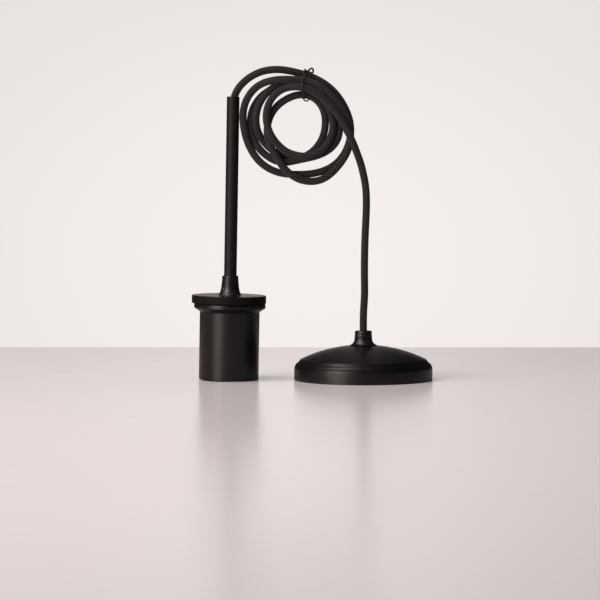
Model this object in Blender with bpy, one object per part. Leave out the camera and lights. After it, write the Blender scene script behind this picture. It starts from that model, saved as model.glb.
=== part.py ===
"""Pendant light fitting, set down on a table with its cord tied up.

A metal lamp holder with a straight stem stands on the left and a domed ceiling
canopy lies on the right. One textile cord joins them: it leaves the top of the
stem, runs through a tied coil and drops into the neck of the canopy.

Units are metres. +Z is up, +X runs from the holder to the canopy and -Y is the
front. The origin is on the table, below the middle of the two fittings.
"""

import math

import bmesh
import bpy
from mathutils import Matrix, Vector

MM = 0.001

# Fits
GAP = 0.3 * MM  # between pieces that touch
THREAD_FIT = 0.3 * MM  # round a screwed stem or shank, whose thread is left out
CORD_FIT = 0.4 * MM  # round the cord where it is threaded through metal

# Layout
AXIS_SPACING = 112.2 * MM  # from the holder's axis to the canopy's, at the table
LEAN = math.radians(1.0)  # the pull of the cord tips the holder towards the canopy

# Cord
CORD_RADIUS = 2.95 * MM
CORE_RADIUS = 0.85 * MM
CORE_SPREAD = 1.25 * MM  # from the cord's middle to the middle of each core
CORE_ENTRY = 2.0 * MM  # how far a core goes into its terminal
CORE_APPROACH = 3.2 * MM  # where a core turns towards its terminal
CORE_BOW = 5.0 * MM  # how far the cores in the socket stand forward
CORE_FALL = 2.0 * MM  # how far a core runs straight out of the cord
JACKET_BELOW_STEM = 2.0 * MM
JACKET_BELOW_CLAMP = 0.4 * MM

# Holder: the cup that covers the socket
CUP_RADIUS = 24.65 * MM
CUP_WALL = 1.2 * MM
CUP_STRAIGHT = 56.3 * MM
CUP_HEIGHT = 63.0 * MM
CUP_TOP = 1.6 * MM
CUP_RIM_ROUND = 0.35 * MM
FLANGE_RADIUS = 29.5 * MM
FLANGE_EDGE = 2.6 * MM

# Holder: the disc that clamps a shade on the flange, pushed a little to one side
DISC_RADIUS = 30.7 * MM
DISC_THICKNESS = 6.7 * MM
DISC_ROUND = 0.7 * MM
DISC_SHIFT = 0.8 * MM

# Holder: the stem and the collar that slides on it
STEM_RADIUS = 5.05 * MM
STEM_WALL = 1.3 * MM
STEM_TOP = 235.0 * MM
STEM_ROUND = 0.3 * MM
COLLAR_HEIGHT = 15.9 * MM
COLLAR_RADIUS = 6.35 * MM  # just under the collar's top edge
COLLAR_TAPER = 0.0758  # how fast its radius grows on the way down
COLLAR_FLARE = 1.75 * MM  # what the trumpet foot adds at the bottom
COLLAR_FLARE_HEIGHT = 2.8 * MM
COLLAR_EDGE = 0.6 * MM
GRIP_SCREW_HEIGHT = 4.6 * MM
GRIP_SCREW_RADIUS = 1.2 * MM
GRIP_SCREW_SIDE = math.radians(218.0)  # faces the front left

# Holder: nut under the cup's top
NUT_FLATS = 14.0 * MM
NUT_HEIGHT = 3.0 * MM

# Holder: the socket's inlet bush
INLET_RADIUS = 7.0 * MM
INLET_LENGTH = 9.5 * MM
INLET_FLANGE = 9.2 * MM
INLET_FLANGE_HEIGHT = 1.5 * MM
INLET_GRIP = 9.0 * MM  # how far the stem is screwed in
LUG_WIDTH = 5.0 * MM
LUG_DROP = 4.0 * MM
LUG_THICKNESS = 2.6 * MM

# Holder: the socket's cap, skirt and contact block
CAP_RADIUS = 20.4 * MM
CAP_WALL = 2.0 * MM
CAP_NECK_WALL = 2.3 * MM
CAP_NECK_HEIGHT = 5.6 * MM
CAP_DOME_HEIGHT = 11.0 * MM
CAP_SKIRT_HEIGHT = 9.7 * MM
SKIRT_RADIUS = 19.0 * MM
SKIRT_RECESS = 4.5 * MM  # from the cup's rim up to the skirt's mouth
SPIGOT_HEIGHT = 5.5 * MM
SPIGOT_WALL = 2.1 * MM
BLOCK_THICKNESS = 7.0 * MM
BLOCK_RECESS = 2.5 * MM  # from the spigot's top down to the block
SHELL_FLANGE_BORE = 9.2 * MM
SHELL_WALL = 0.6 * MM
SHELL_LENGTH = 19.5 * MM

# Lamp thread of the screw shell, the common 27 mm one
THREAD_OUTSIDE = 26.9 * MM  # across the grooves
THREAD_DEPTH = 1.1 * MM
THREAD_PITCH = 3.63 * MM

# Terminals in the socket
POST_SIZE = (6.0 * MM, 7.0 * MM, 7.0 * MM)
POST_STEM_RADIUS = 1.3 * MM
LIVE_POST_X = 5.6 * MM
NEUTRAL_POST_X = -10.9 * MM
POST_HOLE_HEIGHT = 4.0 * MM
CONTACT_WIDTH = 6.0 * MM
CONTACT_THICKNESS = 0.7 * MM
CONTACT_DROP = 5.0 * MM

# Small machine screws: head radius, head height, shank radius
TERMINAL_SCREW = (2.3 * MM, 1.5 * MM, 1.25 * MM)

# Canopy
CANOPY_RADIUS = 57.5 * MM
CANOPY_WALL = 1.2 * MM
CANOPY_RIM = 11.2 * MM  # height of the corner between rim and shoulder
CANOPY_RIM_ROUND = 4.0 * MM
SHOULDER_RADIUS = 51.8 * MM
SHOULDER_ROUND = 3.0 * MM
CROWN_HEIGHT = 28.7 * MM
CROWN_BEND = 120.0 * MM  # radius of the ball that the dome is a cap of

# Canopy neck
NECK_RADIUS = 6.9 * MM
NECK_TOP = 40.0 * MM
NECK_FLARE = 3.7 * MM
NECK_FLARE_HEIGHT = 1.75 * MM
NECK_LIP_ROUND = 0.7 * MM
NECK_THREAD_RADIUS = 4.9 * MM
NECK_THREAD_LENGTH = 8.0 * MM
WASHER_RADIUS = 9.5 * MM
WASHER_THICKNESS = 1.0 * MM

# Cord clamp under the neck
CLAMP_LENGTH = 22.0 * MM
CLAMP_DEPTH = 6.0 * MM
CLAMP_HEIGHT = 6.0 * MM
CLAMP_SCREW_X = 7.6 * MM
CLAMP_SCREW = (1.9 * MM, 1.3 * MM, 1.1 * MM)

# Ceiling strap
STRAP_WIDTH = 18.0 * MM
STRAP_THICKNESS = 1.5 * MM
STRAP_RAISE = 0.5 * MM  # above the canopy's rim
STRAP_EAR_TOP = 9.5 * MM
STRAP_BEND = 2.2 * MM
SLOT_LENGTH = 12.0 * MM
SLOT_WIDTH = 5.0 * MM
SLOT_X = 41.0 * MM
SIDE_SCREW_RADIUS = 1.4 * MM
SIDE_SCREW_HEIGHT = 5.8 * MM
SIDE_SCREW_LENGTH = 5.0 * MM
SCREW_SUNK = 0.4 * MM  # below the surface that a grub screw is set in

# Terminal strip on the ceiling strap
POLE_COUNT = 3
POLE_PITCH = 7.0 * MM
HOUSING_X = 20.5 * MM
HOUSING_DEPTH = 15.0 * MM
HOUSING_HEIGHT = 9.6 * MM
BARREL_SIDE = 4.4 * MM
BARREL_BORE = 1.35 * MM
BARREL_LENGTH = 12.6 * MM
BARREL_HEIGHT = 3.6 * MM
BARREL_SCREW_Y = 3.6 * MM
BARREL_SCREW_RADIUS = 1.1 * MM
BARREL_SCREW_SUNK = 1.2 * MM  # below the housing's top
LIVE_CORE_BOW = 3.4 * MM  # how far a core passes in front of the strip
NEUTRAL_CORE_BOW = 8.0 * MM
EARTH_SCREW_X = -21.0 * MM
EARTH_SCREW = (3.0 * MM, 1.8 * MM, 1.7 * MM)
EARTH_LUG_RADIUS = 3.6 * MM
EARTH_LUG_THICKNESS = 1.0 * MM
EARTH_LUG_TAIL = (5.0 * MM, 2.6 * MM)

# Coil and tie
COIL_X = -55.1 * MM  # middle of the coil, from the canopy's axis
COIL_HEIGHT = 211.5 * MM
COIL_CENTRE = Vector((COIL_X, 0.0, COIL_HEIGHT))
COIL_OUTSIDE = 48.0 * MM
COIL_INSIDE = 21.5 * MM
COIL_DEPTH = 17.5 * MM
COIL_ROUND = 6.0 * MM
TIE_RADIUS = 0.5 * MM
TIE_ANGLE = math.radians(82.0)  # where the tie goes round the coil
TIE_ENDS = (4.5 * MM, 1.6 * MM)  # how far the ends stand up, and apart
TIE_DRIFT = 3.0 * MM  # how far the tie wanders along the coil on its way round

# Route of the cord outside the coil, from the canopy's axis at the table
RISE_ROUTE = (
    (-108.0, 0.0, 236.3),
    (-107.5, 0.0, 238.8),
    (-105.8, 0.1, 241.8),
    (-102.8, 0.3, 244.8),
    (-99.4, 0.5, 247.8),
    (-95.2, 0.7, 250.9),
    (-90.4, 0.8, 253.6),
    (-85.0, 0.9, 255.8),
    (-78.8, 1.0, 256.8),
)
DROP_ROUTE = (
    (-8.6, -3.4, 192.8),
    (-5.5, -3.4, 187.4),
    (-3.2, -3.2, 182.4),
    (-0.5, -2.2, 172.5),
    (1.4, -1.2, 162.5),
    (2.2, -0.4, 152.5),
    (2.3, 0.0, 145.0),
    (1.8, 0.0, 129.0),
    (1.2, 0.0, 114.0),
    (0.9, 0.0, 99.0),
    (0.9, 0.0, 84.0),
    (0.9, 0.0, 69.0),
    (0.3, 0.0, 59.0),
    (0.0, 0.0, 49.0),
    (0.0, 0.0, 40.4),
)

# Facets
ROUND_STEPS = 56
NECK_STEPS = 28
SMALL_STEPS = 8
FILLET_STEPS = 3
COIL_STEPS = 32
SHELL_STEPS = 18
SHELL_ROWS_PER_TURN = 4
SHARP_ANGLE = math.radians(32.0)

# Finishes: colour, roughness, metallic
SATIN_BLACK = ((0.026, 0.023, 0.022, 1.0), 0.42, 0.35)
BLACK_RESIN = ((0.02, 0.019, 0.019, 1.0), 0.5, 0.0)
BLACK_TEXTILE = ((0.028, 0.023, 0.021, 1.0), 0.9, 0.0)
BRASS = ((0.72, 0.53, 0.24, 1.0), 0.3, 1.0)
ZINC = ((0.6, 0.61, 0.62, 1.0), 0.35, 1.0)
CERAMIC = ((0.82, 0.8, 0.75, 1.0), 0.35, 0.0)
NATURAL_NYLON = ((0.78, 0.76, 0.7, 1.0), 0.5, 0.0)
BROWN_CORE = ((0.16, 0.07, 0.03, 1.0), 0.5, 0.0)
BLUE_CORE = ((0.02, 0.1, 0.4, 1.0), 0.5, 0.0)
GREEN_CORE = ((0.12, 0.4, 0.06, 1.0), 0.5, 0.0)

# Sizes that follow from those above
STEM_BORE = STEM_RADIUS - STEM_WALL
STEM_HOLE = STEM_RADIUS + THREAD_FIT
DISC_BASE = CUP_HEIGHT + GAP
DISC_TOP = DISC_BASE + DISC_THICKNESS
COLLAR_BASE = DISC_TOP + GAP
CUP_UNDERSIDE = CUP_HEIGHT - CUP_TOP
NUT_BASE = CUP_UNDERSIDE - GAP - NUT_HEIGHT
NECK_END = NUT_BASE - GAP  # top of the socket cap's neck
INLET_TOP = NECK_END
INLET_SEAT = INLET_TOP - INLET_LENGTH + INLET_FLANGE_HEIGHT
STEM_END = INLET_TOP - INLET_GRIP
DOME_TOP = NECK_END - CAP_NECK_HEIGHT
CAP_SHOULDER = DOME_TOP - CAP_DOME_HEIGHT
CAP_EDGE = CAP_SHOULDER - CAP_SKIRT_HEIGHT
SKIRT_SHOULDER = CAP_EDGE - GAP
SPIGOT_TOP = SKIRT_SHOULDER + SPIGOT_HEIGHT
SPIGOT_RADIUS = CAP_RADIUS - CAP_WALL - GAP
BLOCK_RADIUS = SPIGOT_RADIUS - SPIGOT_WALL - GAP
BLOCK_TOP = SPIGOT_TOP - BLOCK_RECESS
BLOCK_BASE = BLOCK_TOP - BLOCK_THICKNESS
LEDGE = BLOCK_BASE - GAP
SHELL_MEAN = THREAD_OUTSIDE / 2 - THREAD_DEPTH / 2
SHELL_OUTSIDE = THREAD_OUTSIDE / 2 + SHELL_WALL
SHELL_TOP = LEDGE
SHELL_BASE = SHELL_TOP - SHELL_LENGTH
POST_BASE = BLOCK_TOP + GAP
POST_TOP = POST_BASE + POST_SIZE[2]
POST_HOLE_RADIUS = CORE_RADIUS + CORD_FIT
HOLDER_CORD_END = STEM_END - JACKET_BELOW_STEM
RIM_FOOT = CUP_RADIUS - CUP_RIM_ROUND
RIM_DROP = RIM_FOOT * math.sin(LEAN) + CUP_RIM_ROUND * (1 - math.cos(LEAN))
DISC_EDGE = DISC_BASE + DISC_ROUND
DISC_REACH = (DISC_RADIUS + DISC_SHIFT) * math.cos(LEAN) - DISC_EDGE * math.sin(LEAN)
HOLDER_X = (DISC_REACH - AXIS_SPACING - CANOPY_RADIUS) / 2
CANOPY_X = HOLDER_X + AXIS_SPACING
CANOPY_INSIDE = CANOPY_RADIUS - CANOPY_WALL
NECK_BORE = CORD_RADIUS + CORD_FIT
SHELL_HOLE = NECK_THREAD_RADIUS + THREAD_FIT
STRAP_BASE = STRAP_RAISE
STRAP_TOP = STRAP_BASE + STRAP_THICKNESS
EAR_OUTSIDE = math.sqrt((CANOPY_INSIDE - GAP) ** 2 - (STRAP_WIDTH / 2) ** 2)
HOUSING_BASE = STRAP_TOP + GAP
HOUSING_WIDTH = POLE_COUNT * POLE_PITCH


def dome_height(radius, drop=0.0):
    """Height of the canopy's dome at a radius; drop gives its inner face."""
    bend = CROWN_BEND - drop
    return CROWN_HEIGHT - CROWN_BEND + math.sqrt(bend * bend - radius * radius)


WASHER_TOP = dome_height(WASHER_RADIUS, CANOPY_WALL) - GAP
NECK_NUT_TOP = WASHER_TOP - WASHER_THICKNESS - GAP
NECK_THREAD_END = dome_height(0.0) - NECK_THREAD_LENGTH
CLAMP_TOP = min(NECK_THREAD_END, NECK_NUT_TOP - NUT_HEIGHT) - GAP
CLAMP_BASE = CLAMP_TOP - CLAMP_HEIGHT
CANOPY_CORD_END = CLAMP_BASE - JACKET_BELOW_CLAMP


# Shapes


def arc(centre, radius, start, end, steps):
    """Points on an arc from one angle to another, both ends included."""
    angles = [start + (end - start) * i / steps for i in range(steps + 1)]
    return [(centre[0] + radius * math.cos(a), centre[1] + radius * math.sin(a)) for a in angles]


def rounded(corners, closed=True, steps=FILLET_STEPS):
    """Turns corners (a, b) or (a, b, fillet radius) into a line with real arcs."""
    points = []
    count = len(corners)
    for i, corner in enumerate(corners):
        here = Vector(corner[:2])
        fillet = corner[2] if len(corner) > 2 else 0.0
        if fillet <= 0.0 or (not closed and i in (0, count - 1)):
            points.append(tuple(here))
            continue
        back = Vector(corners[i - 1][:2]) - here
        ahead = Vector(corners[(i + 1) % count][:2]) - here
        half = back.angle(ahead) / 2
        reach = min(fillet / math.tan(half), back.length / 2, ahead.length / 2)
        radius = reach * math.tan(half)
        bisector = (back.normalized() + ahead.normalized()).normalized()
        centre = here + bisector * (radius / math.sin(half))
        first = here + back.normalized() * reach - centre
        last = here + ahead.normalized() * reach - centre
        turn = first.angle_signed(last)
        for j in range(steps + 1):
            angle = -turn * j / steps
            spoke = Matrix.Rotation(angle, 2) @ first
            points.append(tuple(centre + spoke))
    return points


def turned(points, steps):
    """Turns an outline of (radius, height) about Z. An outline that starts and
    ends on the axis makes a solid body, and any other one makes a ring."""
    shape = bmesh.new()
    corners = [shape.verts.new((radius, 0.0, height)) for radius, height in points]
    edges = [shape.edges.new(pair) for pair in zip(corners, corners[1:])]
    if points[0][0] > 0.0 or points[-1][0] > 0.0:
        edges.append(shape.edges.new((corners[-1], corners[0])))
    bmesh.ops.spin(
        shape,
        geom=corners + edges,
        cent=(0.0, 0.0, 0.0),
        axis=(0.0, 0.0, 1.0),
        angle=math.tau,
        steps=steps,
        use_merge=True,
    )
    bmesh.ops.remove_doubles(shape, verts=shape.verts, dist=1e-7)
    return shape


def extruded(points, low, high):
    """Extrudes an outline of (x, z) along Y from low to high."""
    shape = bmesh.new()
    face = shape.faces.new([shape.verts.new((x, low, z)) for x, z in points])
    grown = bmesh.ops.extrude_face_region(shape, geom=[face])["geom"]
    moved = [item for item in grown if isinstance(item, bmesh.types.BMVert)]
    bmesh.ops.translate(shape, verts=moved, vec=(0.0, high - low, 0.0))
    return shape


def upright(points, low, high):
    """Extrudes an outline of (x, y) along Z from low to high."""
    shape = extruded(points, low, high)
    swap = Matrix(((1, 0, 0, 0), (0, 0, 1, 0), (0, 1, 0, 0), (0, 0, 0, 1)))
    bmesh.ops.transform(shape, matrix=swap, verts=shape.verts)
    return shape


def block(low, high):
    """A rectangular block between two opposite corners."""
    corners = ((low[0], low[2]), (high[0], low[2]), (high[0], high[2]), (low[0], high[2]))
    return extruded(corners, low[1], high[1])


def rod(start, end, radius, steps=SMALL_STEPS):
    """A round bar between two points."""
    start = Vector(start)
    run = Vector(end) - start
    length = run.length
    shape = turned([(0.0, length), (radius, length), (radius, 0.0), (0.0, 0.0)], steps)
    place = Matrix.Translation(start) @ run.to_track_quat("Z", "Y").to_matrix().to_4x4()
    bmesh.ops.transform(shape, matrix=place, verts=shape.verts)
    return shape


def strip(path, thickness):
    """Outline of a bent strip whose middle line is the path of (x, z) points."""
    left = []
    right = []
    for i, point in enumerate(path):
        here = Vector(point)
        back = (here - Vector(path[i - 1])).normalized() if i else None
        ahead = (Vector(path[i + 1]) - here).normalized() if i < len(path) - 1 else None
        along = ((back or ahead) + (ahead or back)).normalized()
        side = Vector((-along.y, along.x))
        stretch = 1.0 / max(0.5, side.dot(Vector((-(ahead or back).y, (ahead or back).x))))
        left.append(tuple(here + side * thickness / 2 * stretch))
        right.append(tuple(here - side * thickness / 2 * stretch))
    return left + right[::-1]


def hexagon(flats):
    """Corners of a hexagon with the given size across its flats."""
    radius = flats / 2 / math.cos(math.pi / 6)
    return [(radius * math.cos(i * math.pi / 3), radius * math.sin(i * math.pi / 3)) for i in range(6)]


def smooth_route(points, spacing, lead):
    """Reads a smooth curve through the points at even steps along it. A short
    first and last step, the lead, keeps the cord's ends square to its route."""
    ends = [2 * Vector(points[0]) - Vector(points[1])]
    ends += [Vector(point) for point in points]
    ends += [2 * ends[-1] - ends[-2]]
    fine = []
    for i in range(1, len(ends) - 2):
        a, b, c, d = ends[i - 1 : i + 3]
        for j in range(12):
            t = j / 12
            bend = (2 * a - 5 * b + 4 * c - d) * t * t + (3 * b - a - 3 * c + d) * t * t * t
            fine.append((2 * b + (c - a) * t + bend) / 2)
    fine.append(ends[-2])
    along = [0.0]
    for a, b in zip(fine, fine[1:]):
        along.append(along[-1] + (b - a).length)
    inner = along[-1] - 2 * lead
    count = max(1, round(inner / spacing))
    stops = [0.0] + [lead + inner * i / count for i in range(count + 1)] + [along[-1]]
    route = []
    k = 0
    for stop in stops:
        while k < len(along) - 2 and along[k + 1] < stop:
            k += 1
        share = (stop - along[k]) / (along[k + 1] - along[k])
        route.append(fine[k].lerp(fine[k + 1], share))
    return route


# Building


def clear_scene():
    for obj in list(bpy.data.objects):
        bpy.data.objects.remove(obj, do_unlink=True)


def empty(name, location, tilt=0.0):
    frame = bpy.data.objects.new(name, None)
    frame.empty_display_size = 0.02
    frame.location = location
    frame.rotation_euler = (0.0, tilt, 0.0)
    bpy.context.scene.collection.objects.link(frame)
    return frame


def dress(obj, finish):
    """Gives an object its own Principled material."""
    colour, roughness, metallic = finish
    material = bpy.data.materials.new(obj.name)
    material.use_nodes = True
    shader = material.node_tree.nodes["Principled BSDF"]
    shader.inputs["Base Color"].default_value = colour
    shader.inputs["Roughness"].default_value = roughness
    shader.inputs["Metallic"].default_value = metallic
    obj.data.materials.append(material)


def add(name, shape, parent, finish=None, location=(0.0, 0.0, 0.0)):
    """Makes an object of a shape. One with no finish is a cutter or a helper."""
    bmesh.ops.recalc_face_normals(shape, faces=shape.faces)
    mesh = bpy.data.meshes.new(name)
    shape.to_mesh(mesh)
    shape.free()
    mesh.shade_smooth()
    mesh.set_sharp_from_angle(angle=SHARP_ANGLE)
    obj = bpy.data.objects.new(name, mesh)
    bpy.context.scene.collection.objects.link(obj)
    obj.parent = parent
    obj.location = location
    if finish:
        dress(obj, finish)
    else:
        obj.hide_render = True
        obj.display_type = "WIRE"
    return obj


def combine(obj, helper, operation="DIFFERENCE"):
    """Cuts a helper from an object, or joins it on with UNION."""
    modifier = obj.modifiers.new(helper.name, "BOOLEAN")
    modifier.operation = operation
    modifier.solver = "EXACT"
    modifier.object = helper


def drill(obj, start, end, radius, steps=SMALL_STEPS):
    """Drills a round hole between two points of the object's frame."""
    name = f"{obj.name}_hole_{len(obj.modifiers)}"
    combine(obj, add(name, rod(start, end, radius, steps), obj.parent))


def screw(name, size, length, seat, direction, parent, finish=ZINC):
    """A round headed screw with a recess, seated by its head's underside."""
    head, height, shank = size
    outline = [
        (0.0, 0.4 * height),
        (0.4 * head, 0.4 * height),
        (0.4 * head, height),
        (0.9 * head, height),
        (head, 0.0),
        (shank, 0.0),
        (shank, -length),
        (0.0, -length),
    ]
    shape = turned(outline, SMALL_STEPS)
    turn = Vector(direction).to_track_quat("Z", "Y").to_matrix().to_4x4()
    bmesh.ops.transform(shape, matrix=Matrix.Translation(seat) @ turn, verts=shape.verts)
    return add(name, shape, parent, finish)


def tube(name, points, radius, parent, finish, resolution=2, spacing=None):
    """A cord or a core: a curve with a round bevel and filled caps."""
    route = smooth_route(points, spacing or 5.0 * radius, 0.8 * radius)
    curve = bpy.data.curves.new(name, "CURVE")
    curve.dimensions = "3D"
    curve.bevel_depth = radius
    curve.bevel_resolution = resolution
    curve.use_fill_caps = True
    spline = curve.splines.new("POLY")
    spline.points.add(len(route) - 1)
    for point, place in zip(spline.points, route):
        point.co = (*place, 1.0)
    obj = bpy.data.objects.new(name, curve)
    bpy.context.scene.collection.objects.link(obj)
    obj.parent = parent
    dress(obj, finish)
    return obj


# Holder


def build_cup(frame):
    """The spun cup: a straight wall, a cone and a flange, closed on top."""
    inside = CUP_RADIUS - CUP_WALL
    flange_inside = FLANGE_RADIUS - CUP_WALL
    cone_top = CUP_HEIGHT - FLANGE_EDGE
    outline = rounded(
        (
            (STEM_HOLE, CUP_HEIGHT),
            (FLANGE_RADIUS, CUP_HEIGHT, 0.5 * MM),
            (FLANGE_RADIUS, cone_top, 0.3 * MM),
            (CUP_RADIUS, CUP_STRAIGHT, 0.8 * MM),
            (CUP_RADIUS, 0.0, CUP_RIM_ROUND),
            (inside, 0.0),
            (inside, CUP_STRAIGHT + CUP_WALL / 2),
            (flange_inside, cone_top + CUP_WALL / 2),
            (flange_inside, CUP_UNDERSIDE),
            (STEM_HOLE, CUP_UNDERSIDE),
        ),
        steps=1,
    )
    add("holder_cup", turned(outline, ROUND_STEPS), frame, SATIN_BLACK)


def build_disc(frame):
    """The loose clamping disc, whose hole lets it sit a little off centre."""
    hole = STEM_HOLE + DISC_SHIFT
    outline = rounded(
        (
            (hole, DISC_TOP),
            (DISC_RADIUS, DISC_TOP, DISC_ROUND),
            (DISC_RADIUS, DISC_BASE, DISC_ROUND),
            (hole, DISC_BASE),
        ),
        steps=1,
    )
    disc = turned(outline, ROUND_STEPS)
    add("clamp_disc", disc, frame, SATIN_BLACK, (-DISC_SHIFT, 0.0, 0.0))


def collar_radius(height):
    """Radius of the collar above its foot: a slow taper with a trumpet foot."""
    taper = COLLAR_RADIUS + COLLAR_TAPER * (COLLAR_HEIGHT - height)
    return taper + COLLAR_FLARE * math.exp(-height / COLLAR_FLARE_HEIGHT)


def build_collar(frame):
    """The collar that slides on the stem and its grub screw."""
    edge = COLLAR_HEIGHT - COLLAR_EDGE
    steps = 5
    heights = [edge * (i / steps) ** 1.6 for i in range(steps, -1, -1)]
    outline = [(STEM_HOLE, COLLAR_HEIGHT), (collar_radius(edge) - COLLAR_EDGE, COLLAR_HEIGHT)]
    outline += [(collar_radius(height), height) for height in heights]
    outline += [(STEM_HOLE, 0.0)]
    collar = add("stem_collar", turned(outline, NECK_STEPS), frame, SATIN_BLACK, (0.0, 0.0, COLLAR_BASE))
    side = Vector((math.cos(GRIP_SCREW_SIDE), math.sin(GRIP_SCREW_SIDE), 0.0))
    height = Vector((0.0, 0.0, COLLAR_BASE + GRIP_SCREW_HEIGHT))
    surface = collar_radius(GRIP_SCREW_HEIGHT)
    drill(
        collar,
        height + side * STEM_RADIUS * 0.5,
        height + side * surface * 1.5,
        GRIP_SCREW_RADIUS + THREAD_FIT,
    )
    grub = rod(height + side * STEM_HOLE, height + side * (surface - SCREW_SUNK / 2), GRIP_SCREW_RADIUS)
    add("grip_screw", grub, frame, SATIN_BLACK)


def build_stem(frame):
    """The straight tube that carries the socket, cut square at both ends."""
    outline = rounded(
        (
            (STEM_BORE, STEM_TOP, STEM_ROUND),
            (STEM_RADIUS, STEM_TOP, STEM_ROUND),
            (STEM_RADIUS, STEM_END),
            (STEM_BORE, STEM_END),
        ),
        steps=1,
    )
    add("stem_tube", turned(outline, NECK_STEPS), frame, SATIN_BLACK)


def build_nut(name, base, bore, frame):
    """A thin hexagon nut."""
    nut = add(name, upright(hexagon(NUT_FLATS), base, base + NUT_HEIGHT), frame, ZINC)
    below = (0.0, 0.0, base - NUT_HEIGHT)
    above = (0.0, 0.0, base + 2 * NUT_HEIGHT)
    drill(nut, below, above, bore, NECK_STEPS // 2)


def build_inlet(frame):
    """The brass bush that the stem screws into, with a lug for the earth core."""
    bore = STEM_HOLE
    flange_base = INLET_SEAT - INLET_FLANGE_HEIGHT
    outline = (
        (bore, INLET_TOP),
        (INLET_RADIUS, INLET_TOP),
        (INLET_RADIUS, INLET_SEAT),
        (INLET_FLANGE, INLET_SEAT),
        (INLET_FLANGE, flange_base),
        (bore, flange_base),
    )
    bush = add("inlet_bush", turned(outline, NECK_STEPS - 8), frame, BRASS)
    low_y = INLET_FLANGE - LUG_THICKNESS - GAP
    low = (-LUG_WIDTH / 2, low_y, flange_base - LUG_DROP)
    high = (LUG_WIDTH / 2, low_y + LUG_THICKNESS, flange_base + INLET_FLANGE_HEIGHT / 2)
    combine(bush, add("inlet_lug", block(low, high), frame), "UNION")
    hole_height = flange_base - LUG_DROP / 2
    drill(
        bush,
        (0.0, low_y - LUG_THICKNESS, hole_height),
        (0.0, low_y + 2 * LUG_THICKNESS, hole_height),
        POST_HOLE_RADIUS,
    )
    return Vector((0.0, low_y, hole_height))


def build_cap(frame):
    """The socket's domed cap, with a neck round the bush."""
    neck_inside = INLET_RADIUS + GAP
    neck_outside = neck_inside + CAP_NECK_WALL
    inside = CAP_RADIUS - CAP_WALL
    seat = INLET_SEAT + GAP
    steps = 4
    outline = [(neck_inside, NECK_END), (neck_outside, NECK_END)]
    for i in range(steps + 1):
        angle = math.pi / 2 * i / steps
        radius = neck_outside + (CAP_RADIUS - neck_outside) * math.sin(angle)
        outline.append((radius, CAP_SHOULDER + CAP_DOME_HEIGHT * math.cos(angle)))
    outline += [(CAP_RADIUS, CAP_EDGE), (inside, CAP_EDGE)]
    inner_start = INLET_FLANGE + GAP
    for i in range(steps, -1, -1):
        angle = math.pi / 2 * i / steps
        radius = inner_start + (inside - inner_start) * math.sin(angle)
        outline.append((radius, CAP_SHOULDER + (seat - CAP_SHOULDER) * math.cos(angle)))
    outline.append((neck_inside, seat))
    add("socket_cap", turned(outline, NECK_STEPS), frame, BLACK_RESIN)


def build_skirt(frame):
    """The socket's skirt: a mouth, a bore for the screw shell, a ledge for the
    contact block and a spigot that the cap goes over."""
    bore = SHELL_OUTSIDE + GAP
    outline = (
        (BLOCK_RADIUS + GAP, SPIGOT_TOP),
        (SPIGOT_RADIUS, SPIGOT_TOP),
        (SPIGOT_RADIUS, SKIRT_SHOULDER),
        (SKIRT_RADIUS, SKIRT_SHOULDER),
        (SKIRT_RADIUS, SKIRT_RECESS + 0.8 * MM),
        (SKIRT_RADIUS - 0.8 * MM, SKIRT_RECESS),
        (bore + 1.6 * MM, SKIRT_RECESS),
        (bore, SHELL_BASE - GAP),
        (bore, LEDGE),
        (BLOCK_RADIUS + GAP, LEDGE),
    )
    add("socket_skirt", turned(outline, NECK_STEPS), frame, BLACK_RESIN)


def shell_radius(angle, height):
    """Inner radius of the screw shell: a rounded right handed thread that fades
    out at both ends."""
    ends = min(height - SHELL_BASE, SHELL_TOP - SHELL_WALL - height)
    strength = max(0.0, min(1.0, ends / (0.4 * THREAD_PITCH)))
    wave = math.cos(math.tau * height / THREAD_PITCH - angle)
    return SHELL_MEAN + THREAD_DEPTH / 2 * strength * wave


def build_shell(frame):
    """The pressed brass shell with the lamp's thread and a flange on top."""
    wall_top = SHELL_TOP - SHELL_WALL
    run = wall_top - SHELL_BASE
    rows = round(run / THREAD_PITCH * SHELL_ROWS_PER_TURN)
    heights = [SHELL_BASE + run * i / rows for i in range(rows + 1)]
    angles = [math.tau * i / SHELL_STEPS for i in range(SHELL_STEPS)]
    rings = [[(shell_radius(a, h) + SHELL_WALL, h) for a in angles] for h in heights]
    rings.append([(SHELL_MEAN + SHELL_WALL, SHELL_TOP)] * SHELL_STEPS)
    rings.append([(SHELL_FLANGE_BORE, SHELL_TOP)] * SHELL_STEPS)
    rings.append([(SHELL_FLANGE_BORE, wall_top)] * SHELL_STEPS)
    rings += [[(shell_radius(a, h), h) for a in angles] for h in reversed(heights)]
    shape = bmesh.new()
    corners = []
    for ring in rings:
        row = [shape.verts.new((r * math.cos(a), r * math.sin(a), h)) for a, (r, h) in zip(angles, ring)]
        corners.append(row)
    for row, above in zip(corners, corners[1:] + corners[:1]):
        for i in range(SHELL_STEPS):
            j = (i + 1) % SHELL_STEPS
            shape.faces.new((row[i], row[j], above[j], above[i]))
    add("screw_shell", shape, frame, BRASS)


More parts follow.
